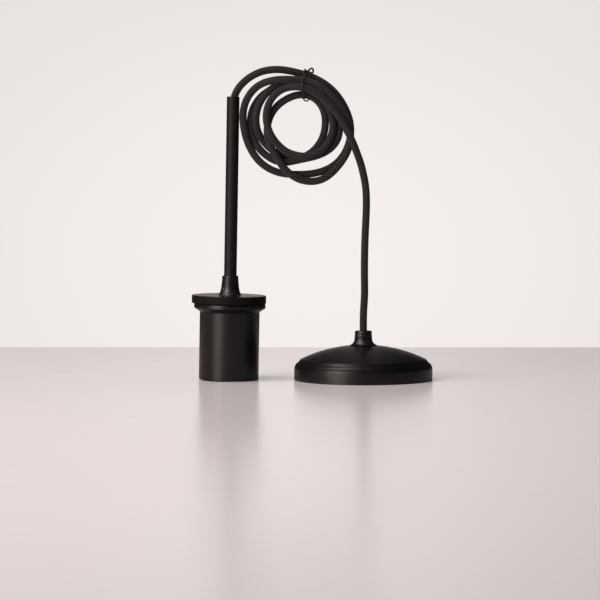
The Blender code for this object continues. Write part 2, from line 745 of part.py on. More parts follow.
def build_contact_block(frame):
    """The ceramic disc that holds the terminals and the centre contact."""
    outline = rounded(
        (
            (0.0, BLOCK_TOP),
            (BLOCK_RADIUS, BLOCK_TOP, 0.6 * MM),
            (BLOCK_RADIUS, BLOCK_BASE, 0.4 * MM),
            (0.0, BLOCK_BASE),
        ),
        closed=False,
        steps=1,
    )
    ceramic = add("contact_block", turned(outline, NECK_STEPS), frame, CERAMIC)
    for x in (LIVE_POST_X, NEUTRAL_POST_X):
        below = (x, 0.0, BLOCK_BASE - BLOCK_THICKNESS)
        above = (x, 0.0, BLOCK_TOP + BLOCK_THICKNESS)
        drill(ceramic, below, above, POST_STEM_RADIUS + GAP)


def build_terminal(label, x, stem_end, frame):
    """A brass terminal on the block: a post with a core hole, a riveted stem
    and a screw. It gives the mouth of the core hole."""
    width, depth, _ = POST_SIZE
    low = (x - width / 2, -depth / 2, POST_BASE)
    post = add(f"{label}_terminal", block(low, (x + width / 2, depth / 2, POST_TOP)), frame, BRASS)
    stem = rod((x, 0.0, stem_end), (x, 0.0, POST_BASE + POST_SIZE[2] / 4), POST_STEM_RADIUS)
    combine(post, add(f"{label}_terminal_stem", stem, frame), "UNION")
    hole_height = POST_BASE + POST_HOLE_HEIGHT
    drill(post, (x, -2 * depth, hole_height), (x, 2 * depth, hole_height), POST_HOLE_RADIUS)
    shank = TERMINAL_SCREW[2]
    drill(post, (x, 0.0, hole_height), (x, 0.0, POST_TOP + depth), shank + THREAD_FIT)
    seat = Vector((x, 0.0, POST_TOP + GAP))
    length = POST_TOP - hole_height - CORE_RADIUS
    screw(f"{label}_terminal_screw", TERMINAL_SCREW, length, seat, (0, 0, 1), frame)
    return Vector((x, -depth / 2, hole_height))


def build_centre_contact(frame):
    """The sprung strip that touches the lamp's tip."""
    flat = LEDGE - CONTACT_THICKNESS / 2
    far = SHELL_FLANGE_BORE * 0.78
    path = rounded(
        (
            (far, flat),
            (0.3 * far, flat, 1.2 * MM),
            (-0.1 * far, flat - CONTACT_DROP, 1.6 * MM),
            (-0.6 * far, flat - 0.55 * CONTACT_DROP),
        ),
        closed=False,
        steps=4,
    )
    leaf = extruded(strip(path, CONTACT_THICKNESS), -CONTACT_WIDTH / 2, CONTACT_WIDTH / 2)
    add("centre_contact", leaf, frame, BRASS)


def build_holder_cores(frame, earth_mouth, live_mouth, neutral_mouth):
    """The cord inside the stem and its three cores, each led to its terminal."""
    top = STEM_TOP
    run = ((0.0, 0.0, HOLDER_CORD_END), (0.0, 0.0, (HOLDER_CORD_END + top) / 2), (0.0, 0.0, top))
    tube("cord_in_stem", run, CORD_RADIUS, frame, BLACK_TEXTILE, spacing=top / 6)
    start = HOLDER_CORD_END - 2 * GAP
    away = Vector((0.0, -CORE_APPROACH, 0.0))
    entry = Vector((0.0, CORE_ENTRY, 0.0))
    for label, mouth, finish in (("live", live_mouth, BROWN_CORE), ("neutral", neutral_mouth, BLUE_CORE)):
        x = math.copysign(CORE_SPREAD, mouth.x)
        route = (
            (x, 0.0, start),
            (x * 1.2, -CORE_BOW / 5, start - CORE_FALL),
            ((mouth.x + x) / 2, -CORE_BOW, (start + mouth.z) / 2),
            mouth + away + Vector((0.0, 0.0, CORE_SPREAD)),
            mouth + away / 3,
            mouth + entry,
        )
        tube(f"holder_core_{label}", route, CORE_RADIUS, frame, finish)
    route = (
        (0.0, CORE_SPREAD * 1.5, start),
        (0.0, CORE_SPREAD * 1.7, start - CORE_FALL),
        earth_mouth - entry,
        earth_mouth + entry,
    )
    tube("holder_core_earth", route, CORE_RADIUS, frame, GREEN_CORE)


def build_holder():
    frame = empty("holder_frame", (HOLDER_X, 0.0, RIM_DROP), LEAN)
    build_cup(frame)
    build_disc(frame)
    build_collar(frame)
    build_stem(frame)
    build_nut("cup_nut", NUT_BASE, STEM_HOLE, frame)
    earth_mouth = build_inlet(frame)
    build_cap(frame)
    build_skirt(frame)
    build_shell(frame)
    build_contact_block(frame)
    live_mouth = build_terminal("live", LIVE_POST_X, BLOCK_BASE, frame)
    neutral_mouth = build_terminal("neutral", NEUTRAL_POST_X, BLOCK_BASE, frame)
    build_centre_contact(frame)
    build_holder_cores(frame, earth_mouth, live_mouth, neutral_mouth)


# Canopy


def canopy_outline():
    """Section of the spun canopy: rim, shoulder and dome, outside then inside."""
    steps = 4
    rim = CANOPY_RIM
    shoulder = dome_height(SHOULDER_RADIUS)
    inner_shoulder = SHOULDER_RADIUS - CANOPY_WALL / 2
    radii = [SHELL_HOLE + (SHOULDER_RADIUS - SHELL_HOLE) * i / steps for i in range(steps + 1)]
    outside = [(radius, dome_height(radius)) for radius in radii[:-1]]
    outside += [
        (SHOULDER_RADIUS, shoulder, SHOULDER_ROUND),
        (CANOPY_RADIUS, rim, CANOPY_RIM_ROUND),
        (CANOPY_RADIUS, 0.0),
    ]
    inside = [
        (CANOPY_INSIDE, 0.0),
        (CANOPY_INSIDE, rim - CANOPY_WALL / 2),
        (inner_shoulder, dome_height(inner_shoulder, CANOPY_WALL)),
    ]
    inside += [(radius, dome_height(radius, CANOPY_WALL)) for radius in radii[-2::-1]]
    return rounded(outside + inside)


def build_canopy_shell(frame):
    shell = add("canopy_shell", turned(canopy_outline(), ROUND_STEPS), frame, SATIN_BLACK)
    for side in (-1, 1):
        start = (side * EAR_OUTSIDE * 0.9, 0.0, SIDE_SCREW_HEIGHT)
        end = (side * CANOPY_RADIUS * 1.1, 0.0, SIDE_SCREW_HEIGHT)
        drill(shell, start, end, SIDE_SCREW_RADIUS + THREAD_FIT)


def neck_radius(height):
    """Radius of the neck above its foot: a straight neck with a trumpet foot."""
    return NECK_RADIUS + NECK_FLARE * math.exp(-height / NECK_FLARE_HEIGHT)


def build_neck(frame):
    """The turned neck that the cord comes out of, with its hollow thread."""
    foot_radius = NECK_RADIUS + NECK_FLARE
    foot = dome_height(foot_radius) + GAP
    straight = NECK_TOP - foot - NECK_LIP_ROUND
    steps = 5
    heights = [straight * (i / steps) ** 2.0 for i in range(steps, -1, -1)]
    outline = [(NECK_BORE, NECK_TOP)]
    lip = (NECK_RADIUS - NECK_LIP_ROUND, NECK_TOP - NECK_LIP_ROUND)
    outline += arc(lip, NECK_LIP_ROUND, math.pi / 2, math.pi / 6, 2)
    outline += [(neck_radius(height), foot + height) for height in heights]
    outline += [
        (NECK_THREAD_RADIUS, dome_height(NECK_THREAD_RADIUS) + GAP),
        (NECK_THREAD_RADIUS, NECK_THREAD_END),
        (NECK_BORE, NECK_THREAD_END),
    ]
    add("canopy_neck", turned(outline, NECK_STEPS), frame, SATIN_BLACK)


def build_neck_fixings(frame):
    """The washer and nut that hold the neck from inside."""
    base = WASHER_TOP - WASHER_THICKNESS
    outline = (
        (SHELL_HOLE, WASHER_TOP),
        (WASHER_RADIUS, WASHER_TOP),
        (WASHER_RADIUS, base),
        (SHELL_HOLE, base),
    )
    add("neck_washer", turned(outline, NECK_STEPS), frame, ZINC)
    build_nut("neck_nut", NECK_NUT_TOP - NUT_HEIGHT, SHELL_HOLE, frame)


def build_clamp(frame):
    """Two nylon jaws and two screws that grip the cord under the neck."""
    for label, side in (("front", -1), ("back", 1)):
        near = side * GAP / 2
        far = side * (CLAMP_DEPTH + GAP / 2)
        low = (-CLAMP_LENGTH / 2, min(near, far), CLAMP_BASE)
        high = (CLAMP_LENGTH / 2, max(near, far), CLAMP_TOP)
        jaw = add(f"cord_clamp_{label}", block(low, high), frame, NATURAL_NYLON)
        below = (0.0, 0.0, CLAMP_BASE - CLAMP_HEIGHT)
        drill(jaw, below, (0.0, 0.0, CLAMP_TOP + CLAMP_HEIGHT), CORD_RADIUS + GAP)
        height = (CLAMP_BASE + CLAMP_TOP) / 2
        for x in (-CLAMP_SCREW_X, CLAMP_SCREW_X):
            hole = CLAMP_SCREW[2] + THREAD_FIT
            drill(jaw, (x, -2 * CLAMP_DEPTH, height), (x, 2 * CLAMP_DEPTH, height), hole)
    seat_y = -CLAMP_DEPTH - GAP / 2 - GAP
    for label, x in (("left", -CLAMP_SCREW_X), ("right", CLAMP_SCREW_X)):
        seat = Vector((x, seat_y, (CLAMP_BASE + CLAMP_TOP) / 2))
        screw(f"clamp_screw_{label}", CLAMP_SCREW, 2 * CLAMP_DEPTH, seat, (0, -1, 0), frame)


def build_strap(frame):
    """The folded ceiling strap: slots for ceiling screws and an ear at each end
    for a side screw."""
    middle = STRAP_BASE + STRAP_THICKNESS / 2
    ear = EAR_OUTSIDE - STRAP_THICKNESS / 2
    corners = (
        (-ear, STRAP_EAR_TOP),
        (-ear, middle, STRAP_BEND),
        (ear, middle, STRAP_BEND),
        (ear, STRAP_EAR_TOP),
    )
    path = rounded(corners, closed=False, steps=4)
    shape = extruded(strip(path, STRAP_THICKNESS), -STRAP_WIDTH / 2, STRAP_WIDTH / 2)
    strap = add("ceiling_strap", shape, frame, ZINC)
    half = (SLOT_LENGTH - SLOT_WIDTH) / 2
    for x in (-SLOT_X, SLOT_X):
        outline = arc((x + half, 0.0), SLOT_WIDTH / 2, -math.pi / 2, math.pi / 2, 6)
        outline += arc((x - half, 0.0), SLOT_WIDTH / 2, math.pi / 2, 3 * math.pi / 2, 6)
        slot = upright(outline, STRAP_BASE - STRAP_THICKNESS, STRAP_TOP + STRAP_THICKNESS)
        combine(strap, add(f"strap_slot_{len(strap.modifiers)}", slot, frame))
    for side in (-1, 1):
        start = (side * EAR_OUTSIDE * 0.9, 0.0, SIDE_SCREW_HEIGHT)
        end = (side * EAR_OUTSIDE * 1.1, 0.0, SIDE_SCREW_HEIGHT)
        drill(strap, start, end, SIDE_SCREW_RADIUS + THREAD_FIT)
    below = (EARTH_SCREW_X, 0.0, STRAP_BASE - STRAP_THICKNESS)
    above = (EARTH_SCREW_X, 0.0, STRAP_TOP + STRAP_THICKNESS)
    drill(strap, below, above, EARTH_SCREW[2] + THREAD_FIT)
    for label, side in (("left", -1), ("right", 1)):
        outer = side * (CANOPY_RADIUS - SCREW_SUNK)
        inner = outer - side * SIDE_SCREW_LENGTH
        grub = rod((inner, 0.0, SIDE_SCREW_HEIGHT), (outer, 0.0, SIDE_SCREW_HEIGHT), SIDE_SCREW_RADIUS)
        add(f"side_screw_{label}", grub, frame, SATIN_BLACK)


def build_terminal_strip(frame):
    """The terminal strip: a nylon housing, brass barrels and their screws. It
    gives the mouths that the cores go into."""
    left = HOUSING_X - HOUSING_WIDTH / 2
    top = HOUSING_BASE + HOUSING_HEIGHT
    low = (left, -HOUSING_DEPTH / 2, HOUSING_BASE)
    high = (left + HOUSING_WIDTH, HOUSING_DEPTH / 2, top)
    housing = add("terminal_housing", block(low, high), frame, NATURAL_NYLON)
    mouths = []
    height = HOUSING_BASE + BARREL_HEIGHT
    for pole in range(POLE_COUNT):
        x = left + POLE_PITCH * (pole + 0.5)
        half = BARREL_SIDE / 2
        room = half + GAP
        slot = block((x - room, -HOUSING_DEPTH, height - room), (x + room, HOUSING_DEPTH, height + room))
        combine(housing, add(f"housing_slot_{pole + 1}", slot, frame))
        near = (x - half, -BARREL_LENGTH / 2, height - half)
        bar = block(near, (x + half, BARREL_LENGTH / 2, height + half))
        barrel = add(f"terminal_barrel_{pole + 1}", bar, frame, BRASS)
        drill(barrel, (x, -BARREL_LENGTH, height), (x, BARREL_LENGTH, height), BARREL_BORE)
        for end, y in (("front", -BARREL_SCREW_Y), ("back", BARREL_SCREW_Y)):
            above = (x, y, top + HOUSING_HEIGHT)
            drill(housing, (x, y, height), above, BARREL_SCREW_RADIUS + 2 * THREAD_FIT)
            drill(barrel, (x, y, height), above, BARREL_SCREW_RADIUS + THREAD_FIT)
            tip = height + CORE_RADIUS + GAP
            grub = rod((x, y, tip), (x, y, top - BARREL_SCREW_SUNK), BARREL_SCREW_RADIUS)
            add(f"barrel_screw_{pole + 1}_{end}", grub, frame, ZINC)
        mouths.append(Vector((x, -BARREL_LENGTH / 2, height)))
    return mouths


def build_earth_point(frame):
    """The earth screw on the strap and the ring lug under its head."""
    base = STRAP_TOP + GAP
    top = base + EARTH_LUG_THICKNESS
    hole = EARTH_SCREW[2] + THREAD_FIT
    outline = ((hole, top), (EARTH_LUG_RADIUS, top), (EARTH_LUG_RADIUS, base), (hole, base))
    shape = turned(outline, NECK_STEPS // 2)
    bmesh.ops.translate(shape, verts=shape.verts, vec=(EARTH_SCREW_X, 0.0, 0.0))
    ring = add("earth_lug", shape, frame, ZINC)
    length, width = EARTH_LUG_TAIL
    near = EARTH_SCREW_X + (hole + EARTH_LUG_RADIUS) / 2
    tail = block((near, -width / 2, base), (near + length, width / 2, top))
    combine(ring, add("earth_lug_tail", tail, frame), "UNION")
    seat = Vector((EARTH_SCREW_X, 0.0, top + GAP))
    screw("earth_screw", EARTH_SCREW, seat.z - STRAP_BASE, seat, (0, 0, 1), frame)
    return Vector((near + length - CORE_RADIUS, 0.0, top + GAP + CORE_RADIUS))


def build_canopy_cores(frame, mouths, earth_point):
    """The cord inside the neck and its three cores, led to their terminals."""
    run = ((0.0, 0.0, CANOPY_CORD_END), (0.0, 0.0, (CANOPY_CORD_END + NECK_TOP) / 2), (0.0, 0.0, NECK_TOP))
    tube("cord_in_neck", run, CORD_RADIUS, frame, BLACK_TEXTILE, spacing=NECK_TOP / 4)
    start = CANOPY_CORD_END - 2 * GAP
    for label, mouth, finish, side, bow in (
        ("live", mouths[0], BROWN_CORE, 1, LIVE_CORE_BOW),
        ("neutral", mouths[-1], BLUE_CORE, -1, NEUTRAL_CORE_BOW),
    ):
        route = (
            (side * CORE_SPREAD, -CORE_SPREAD * 0.4, start),
            (side * CORE_SPREAD, -CORE_SPREAD * 0.7, start - CORE_FALL * 0.8),
            (side * CORE_SPREAD * 1.3 + mouth.x * 0.1, mouth.y * 0.75 - bow * 0.4, (start + mouth.z) / 2),
            (mouth.x * 0.55, mouth.y - bow, mouth.z + CORE_RADIUS),
            (mouth.x - 2 * CORE_SPREAD, mouth.y - bow * 0.8, mouth.z + GAP),
            (mouth.x, mouth.y - CORE_ENTRY, mouth.z),
            (mouth.x, mouth.y + CORE_ENTRY * 0.8, mouth.z),
        )
        tube(f"canopy_core_{label}", route, CORE_RADIUS, frame, finish)
    route = (
        (0.0, CORE_SPREAD * 1.4, start),
        (-GAP, CORE_SPREAD * 1.5, start - CORE_FALL),
        (earth_point.x * 0.4, CORE_SPREAD * 2.4, (start + earth_point.z) / 2),
        (earth_point.x * 0.75, CORE_SPREAD, earth_point.z + GAP),
        earth_point,
    )
    tube("canopy_core_earth", route, CORE_RADIUS, frame, GREEN_CORE)


def build_canopy():
    frame = empty("canopy_frame", (CANOPY_X, 0.0, 0.0))
    build_canopy_shell(frame)
    build_neck(frame)
    build_neck_fixings(frame)
    build_clamp(frame)
    build_strap(frame)
    mouths = build_terminal_strip(frame)
    earth_point = build_earth_point(frame)
    build_canopy_cores(frame, mouths, earth_point)
    return frame


# Free cord


def build_coil(frame):
    """The outer shape of the tied coil, a ring that stands on edge."""
    half = COIL_DEPTH / 2
    outline = rounded(
        (
            (COIL_INSIDE, half, COIL_ROUND),
            (COIL_OUTSIDE, half, COIL_ROUND),
            (COIL_OUTSIDE, -half, COIL_ROUND),
            (COIL_INSIDE, -half, COIL_ROUND),
        ),
        steps=2,
    )
    shape = turned(outline, COIL_STEPS)
    bmesh.ops.transform(shape, matrix=Matrix.Rotation(math.pi / 2, 4, "X"), verts=shape.verts)
    add("cord_coil", shape, frame, BLACK_TEXTILE, COIL_CENTRE)


def build_tie(frame):
    """The thin tie round the coil, with its two ends standing up."""
    out = Vector((math.cos(TIE_ANGLE), 0.0, math.sin(TIE_ANGLE)))
    along = Vector((out.z, 0.0, -out.x))
    clear = TIE_RADIUS + 2 * GAP
    outline = rounded(
        (
            (COIL_OUTSIDE + clear, -COIL_DEPTH / 2 - clear, COIL_ROUND + clear),
            (COIL_INSIDE - clear, -COIL_DEPTH / 2 - clear, COIL_ROUND + clear),
            (COIL_INSIDE - clear, COIL_DEPTH / 2 + clear, COIL_ROUND + clear),
            (COIL_OUTSIDE + clear, COIL_DEPTH / 2 + clear, COIL_ROUND + clear),
        ),
        steps=2,
    )
    middle = [(COIL_OUTSIDE + clear, -TIE_RADIUS - GAP / 2)] + outline
    middle.append((COIL_OUTSIDE + clear, TIE_RADIUS + GAP / 2))
    count = len(middle) - 1
    route = []
    for i, (reach, depth) in enumerate(middle):
        drift = along * (TIE_DRIFT * (i / count - 0.5))
        route.append(COIL_CENTRE + out * reach + Vector((0.0, depth, 0.0)) + drift)
    stand, apart = TIE_ENDS
    tip = COIL_CENTRE + out * (COIL_OUTSIDE + stand)
    route.insert(0, tip - along * stand + Vector((0.0, -apart, 0.0)))
    route.append(tip + along * stand + Vector((0.0, apart, 0.0)))
    tube("cord_tie", route, TIE_RADIUS, frame, BLACK_TEXTILE, spacing=0.75 * COIL_ROUND)


def build_free_cord(frame):
    tube("cord_rise", [Vector(p) * MM for p in RISE_ROUTE], CORD_RADIUS, frame, BLACK_TEXTILE)
    tube("cord_drop", [Vector(p) * MM for p in DROP_ROUTE], CORD_RADIUS, frame, BLACK_TEXTILE)
    build_coil(frame)
    build_tie(frame)


def main():
    clear_scene()
    build_holder()
    canopy_frame = build_canopy()
    build_free_cord(canopy_frame)


main()
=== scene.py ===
"""Dressed model of a black pendant light fitting that stands on a pale table.

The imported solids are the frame. The metal parts that show are turned again here
with real fillets, the tied cord is laid turn by turn and settled so that its
turns rest against each other, and every solid that stays gets its own finish.
All lengths are in metres. +Z is up and -Y faces the camera.
"""

from __future__ import annotations

import logging
import math
from dataclasses import dataclass, field
from enum import Enum

import bpy
import numpy as np
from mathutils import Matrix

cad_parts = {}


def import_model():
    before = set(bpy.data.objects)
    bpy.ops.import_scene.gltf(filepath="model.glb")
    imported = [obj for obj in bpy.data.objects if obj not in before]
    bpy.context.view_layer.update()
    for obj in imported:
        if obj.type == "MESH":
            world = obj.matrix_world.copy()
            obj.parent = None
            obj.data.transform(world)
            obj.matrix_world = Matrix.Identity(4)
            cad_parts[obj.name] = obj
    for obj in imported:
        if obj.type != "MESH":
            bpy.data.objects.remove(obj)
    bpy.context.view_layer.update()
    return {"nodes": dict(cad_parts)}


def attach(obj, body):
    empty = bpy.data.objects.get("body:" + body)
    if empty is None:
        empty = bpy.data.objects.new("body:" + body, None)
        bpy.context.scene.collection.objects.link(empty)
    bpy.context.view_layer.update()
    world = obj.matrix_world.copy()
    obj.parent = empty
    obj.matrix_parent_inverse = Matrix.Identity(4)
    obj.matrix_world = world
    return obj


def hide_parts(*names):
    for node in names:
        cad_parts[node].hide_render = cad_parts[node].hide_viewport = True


MM = 0.001
HOLDER_X = -69.66 * MM
CANOPY_X = 42.54 * MM
LARGEST_FILLET = 0.7
LOG = logging.getLogger("pendant")

Point = tuple[float, float, float]
Colour = tuple[float, float, float]
Span = tuple[float, float]
Strand = tuple[np.ndarray, float]


class Slot(Enum):
    """Material slots of the record."""

    BLACK = "satin_black"
    SCREW = "black_screw"
    TEXTILE = "black_textile"
    TIE = "tie_string"


class Seam(Enum):
    """How a grid of points closes on itself."""

    ROUND = "columns"
    BOTH = "rows and columns"


class Mix(Enum):
    """Kinds of Mix node, with the numbers of the share, low, high and result sockets."""

    NUMBER = ("FLOAT", 0, 2, 3, 0)
    COLOUR = ("RGBA", 0, 6, 7, 2)


# Shapes


def fillet(corners: list[tuple[float, ...]], steps: int) -> np.ndarray:
    """Rounds the corners of a closed outline.

    Each corner is (radius, height) or (radius, height, fillet). A fillet is an
    arc that touches both sides: its centre lies on the corner's bisector, and
    the arc is read at even angles.

    Args:
        corners: The outline's corners in order.
        steps: Segments in each arc.

    Returns:
        Points of the outline, one row each.
    """
    points: list[np.ndarray] = []
    count = len(corners)
    for i, corner in enumerate(corners):
        here = np.array(corner[:2])
        size = corner[2] if len(corner) > 2 else 0.0
        if size <= 0.0:
            points.append(here)
            continue
        back = np.array(corners[i - 1][:2]) - here
        ahead = np.array(corners[(i + 1) % count][:2]) - here
        back_length, ahead_length = np.linalg.norm(back), np.linalg.norm(ahead)
        back, ahead = back / back_length, ahead / ahead_length
        half = math.acos(float(np.clip(back @ ahead, -1.0, 1.0))) / 2
        reach = min(size / math.tan(half), LARGEST_FILLET * min(back_length, ahead_length))
        radius = reach * math.tan(half)
        centre = here + (back + ahead) / np.linalg.norm(back + ahead) * radius / math.sin(half)
        first, last = here + back * reach - centre, here + ahead * reach - centre
        sweep = math.atan2(first[0] * last[1] - first[1] * last[0], float(first @ last))
        turn = np.linspace(0.0, sweep, steps + 1)
        arc = np.stack(
            [
                centre[0] + first[0] * np.cos(turn) - first[1] * np.sin(turn),
                centre[1] + first[0] * np.sin(turn) + first[1] * np.cos(turn),
            ],
            axis=1,
        )
        points.extend(arc)
    return np.array(points)


def revolve(outline: np.ndarray, steps: int) -> np.ndarray:
    """Turns an outline about Z.

    Row i, column j is (r_i cos a_j, r_i sin a_j, h_i) with a_j at even angles.

    Args:
        outline: Points (radius, height).
        steps: Columns round the axis.

    Returns:
        Grid of points, rows by columns by three.
    """
    angles = np.arange(steps) * math.tau / steps
    radius, height = outline[:, 0][:, None], outline[:, 1][:, None]
    spread = np.ones(steps)[None, :]
    return np.stack([radius * np.cos(angles), radius * np.sin(angles), height * spread], axis=2)


def lean(points: np.ndarray, origin: Point, angle: float) -> np.ndarray:
    """Tips points about Y towards +X and moves them to an origin.

    Args:
        points: Points, three numbers in the last axis.
        origin: Where the local origin goes.
        angle: Tilt in radians.

    Returns:
        Points of the same shape, in the row frame.
    """
    c, s = math.cos(angle), math.sin(angle)
    turn = np.array([[c, 0.0, s], [0.0, 1.0, 0.0], [-s, 0.0, c]])
    return points @ turn.T + np.array(origin)


def round_lip(radius: float, height: float, size: float, steps: int) -> np.ndarray:
    """Quarter of an arc about (radius, height), from its top almost to its side."""
    turn = np.linspace(math.pi / 2, 0.0, steps + 1)[:-1]
    return np.stack([radius + size * np.cos(turn), height + size * np.sin(turn)], axis=1)


def closing_heights(top: float, rows: int) -> np.ndarray:
    """Heights from the top down to zero, closer together near zero."""
    return top * np.linspace(1.0, 0.0, rows) ** 1.5


def grid_faces(rows: int, columns: int, seam: Seam) -> np.ndarray:
    """Quads of a grid as vertex numbers, four in each row of the result."""
    along = rows if seam is Seam.BOTH else rows - 1
    i, j = np.meshgrid(np.arange(along), np.arange(columns), indexing="ij")
    i2, j2 = (i + 1) % rows, (j + 1) % columns
    quads = [i * columns + j, i * columns + j2, i2 * columns + j2, i2 * columns + j]
    return np.stack(quads, axis=2).reshape(-1, 4)


def sixfold(points: np.ndarray, faces: np.ndarray) -> float:
    """Six times the volume inside the faces, negative when they point inwards."""
    a, b, c, d = (points[faces[:, k]] for k in range(4))
    first = np.einsum("ij,ij->i", a, np.cross(b, c))
    second = np.einsum("ij,ij->i", a, np.cross(c, d))
    return float(first.sum() + second.sum())


def distance_along(path: np.ndarray) -> np.ndarray:
    """Length along a path at each of its points, from zero."""
    return np.concatenate([[0.0], np.cumsum(np.linalg.norm(np.diff(path, axis=0), axis=1))])


def spline(points: np.ndarray, spacing: float) -> np.ndarray:
    """Reads a smooth curve through points at even steps.

    The curve is a natural cubic spline over the length of the chords: its
    second derivative m solves one tridiagonal system, is zero at both ends,
    and each stretch is the cubic that m and the points fix.

    Args:
        points: Points that the curve goes through.
        spacing: Distance between the points that are read.

    Returns:
        Points on the curve.
    """
    step = np.linalg.norm(np.diff(points, axis=0), axis=1)
    knots = distance_along(points)
    count = len(points)
    system = np.eye(count)
    inner = np.arange(1, count - 1)
    system[inner, inner - 1] = step[:-1]
    system[inner, inner] = 2 * (step[:-1] + step[1:])
    system[inner, inner + 1] = step[1:]
    slope = np.diff(points, axis=0) / step[:, None]
    right = np.zeros_like(points)
    right[1:-1] = 6 * np.diff(slope, axis=0)
    bend = np.linalg.solve(system, right)
    stops = np.linspace(0.0, knots[-1], max(2, round(knots[-1] / spacing)) + 1)
    k = np.clip(np.searchsorted(knots, stops, side="right") - 1, 0, count - 2)
    h, t = step[k][:, None], (stops - knots[k])[:, None]
    rest = h - t
    curve = bend[k] * rest**3 / (6 * h) + bend[k + 1] * t**3 / (6 * h)
    curve += (points[k] / h - bend[k] * h / 6) * rest
    curve += (points[k + 1] / h - bend[k + 1] * h / 6) * t
    return curve


def sweep_round(path: np.ndarray, radius: float, steps: int, side: Point) -> np.ndarray:
    """Carries a circle along a path: p + r (cos a u + sin a v).

    U is the side direction with its part along the path taken away, and v is
    the path's direction crossed with u.

    Args:
        path: Points of the path.
        radius: Radius of the circle.
        steps: Columns round the path.
        side: A direction that the path never runs along.

    Returns:
        Grid of points, one row for each point of the path.
    """
    along = np.gradient(path, axis=0)
    along /= np.linalg.norm(along, axis=1, keepdims=True)
    first = np.array(side) - along * (along @ np.array(side))[:, None]
    first /= np.linalg.norm(first, axis=1, keepdims=True)
    second = np.cross(along, first)
    angles = (np.arange(steps) * math.tau / steps)[None, :, None]
    return path[:, None] + radius * (np.cos(angles) * first[:, None] + np.sin(angles) * second[:, None])


def build_mesh(name: str, points: np.ndarray, faces: list[list[int]], sharp: float) -> bpy.types.Object:
    """Puts points and faces in a new object at the origin, smooth with sharp edges.

    Args:
        name: Name of the object and its mesh.
        points: One row for each vertex.
        faces: Vertex numbers of each face.
        sharp: Edges that turn by more than this many degrees stay sharp.

    Returns:
        The new object.
    """
    mesh = bpy.data.meshes.new(name)
    mesh.from_pydata(points.tolist(), [], faces)
    mesh.update()
    mesh.shade_smooth()
    mesh.set_sharp_from_angle(angle=math.radians(sharp))
    return add_object(name, mesh)


def add_object(name: str, data: bpy.types.ID) -> bpy.types.Object:
    """Puts data in a new object in the scene."""
    obj = bpy.data.objects.new(name, data)
    bpy.context.scene.collection.objects.link(obj)
    return obj


def ring_body(name: str, grid: np.ndarray) -> bpy.types.Object:
    """Makes an object from a grid that closes on itself both ways, facing out."""
    rows, columns, _ = grid.shape
    points = grid.reshape(-1, 3)
    faces = grid_faces(rows, columns, Seam.BOTH)
    if sixfold(points, faces) < 0.0:
        faces = faces[:, ::-1]
    return build_mesh(name, points, faces.tolist(), 40.0)


def tube_body(name: str, strands: list[Strand], columns: int, side: Point) -> bpy.types.Object:
    """Makes one object of capped round strands, with a UV map of turn and length.

    U goes from 0 to 1 round a strand and V is the length along it in metres.

    Args:
        name: Name of the object.
        strands: The path and the radius of each strand.
        columns: Columns round each strand.
        side: A direction that no path runs along.

    Returns:
        The new object.
    """
    points: list[np.ndarray] = []
    faces: list[list[int]] = []
    coordinates: list[np.ndarray] = []
    start = 0
    for path, radius in strands:
        rows, along = len(path), distance_along(path)
        ring = sweep_round(path, radius, columns, side).reshape(-1, 3)
        quads = grid_faces(rows, columns, Seam.ROUND)
        i, j = np.divmod(np.arange(len(quads)), columns)
        u = np.stack([j, j + 1, j + 1, j], axis=1) / columns
        v = np.stack([along[i], along[i], along[i + 1], along[i + 1]], axis=1)
        flip = sixfold(ring - ring.mean(axis=0), quads) < 0.0
        if flip:
            quads, u, v = quads[:, ::-1], u[:, ::-1], v[:, ::-1]
        faces.extend((quads + start).tolist())
        coordinates.append(np.stack([u, v], axis=2).reshape(-1, 2))
        for row, reverse in ((0, not flip), (rows - 1, flip)):
            cap = start + row * columns + np.arange(columns)
            faces.append((cap[::-1] if reverse else cap).tolist())
            coordinates.append(np.full((columns, 2), along[row]))
        points.append(ring)
        start += len(ring)
    obj = build_mesh(name, np.concatenate(points), faces, 50.0)
    uv = obj.data.uv_layers.new(name="cord")
    uv.data.foreach_set("uv", np.concatenate(coordinates).ravel())
    return obj


# Finishes


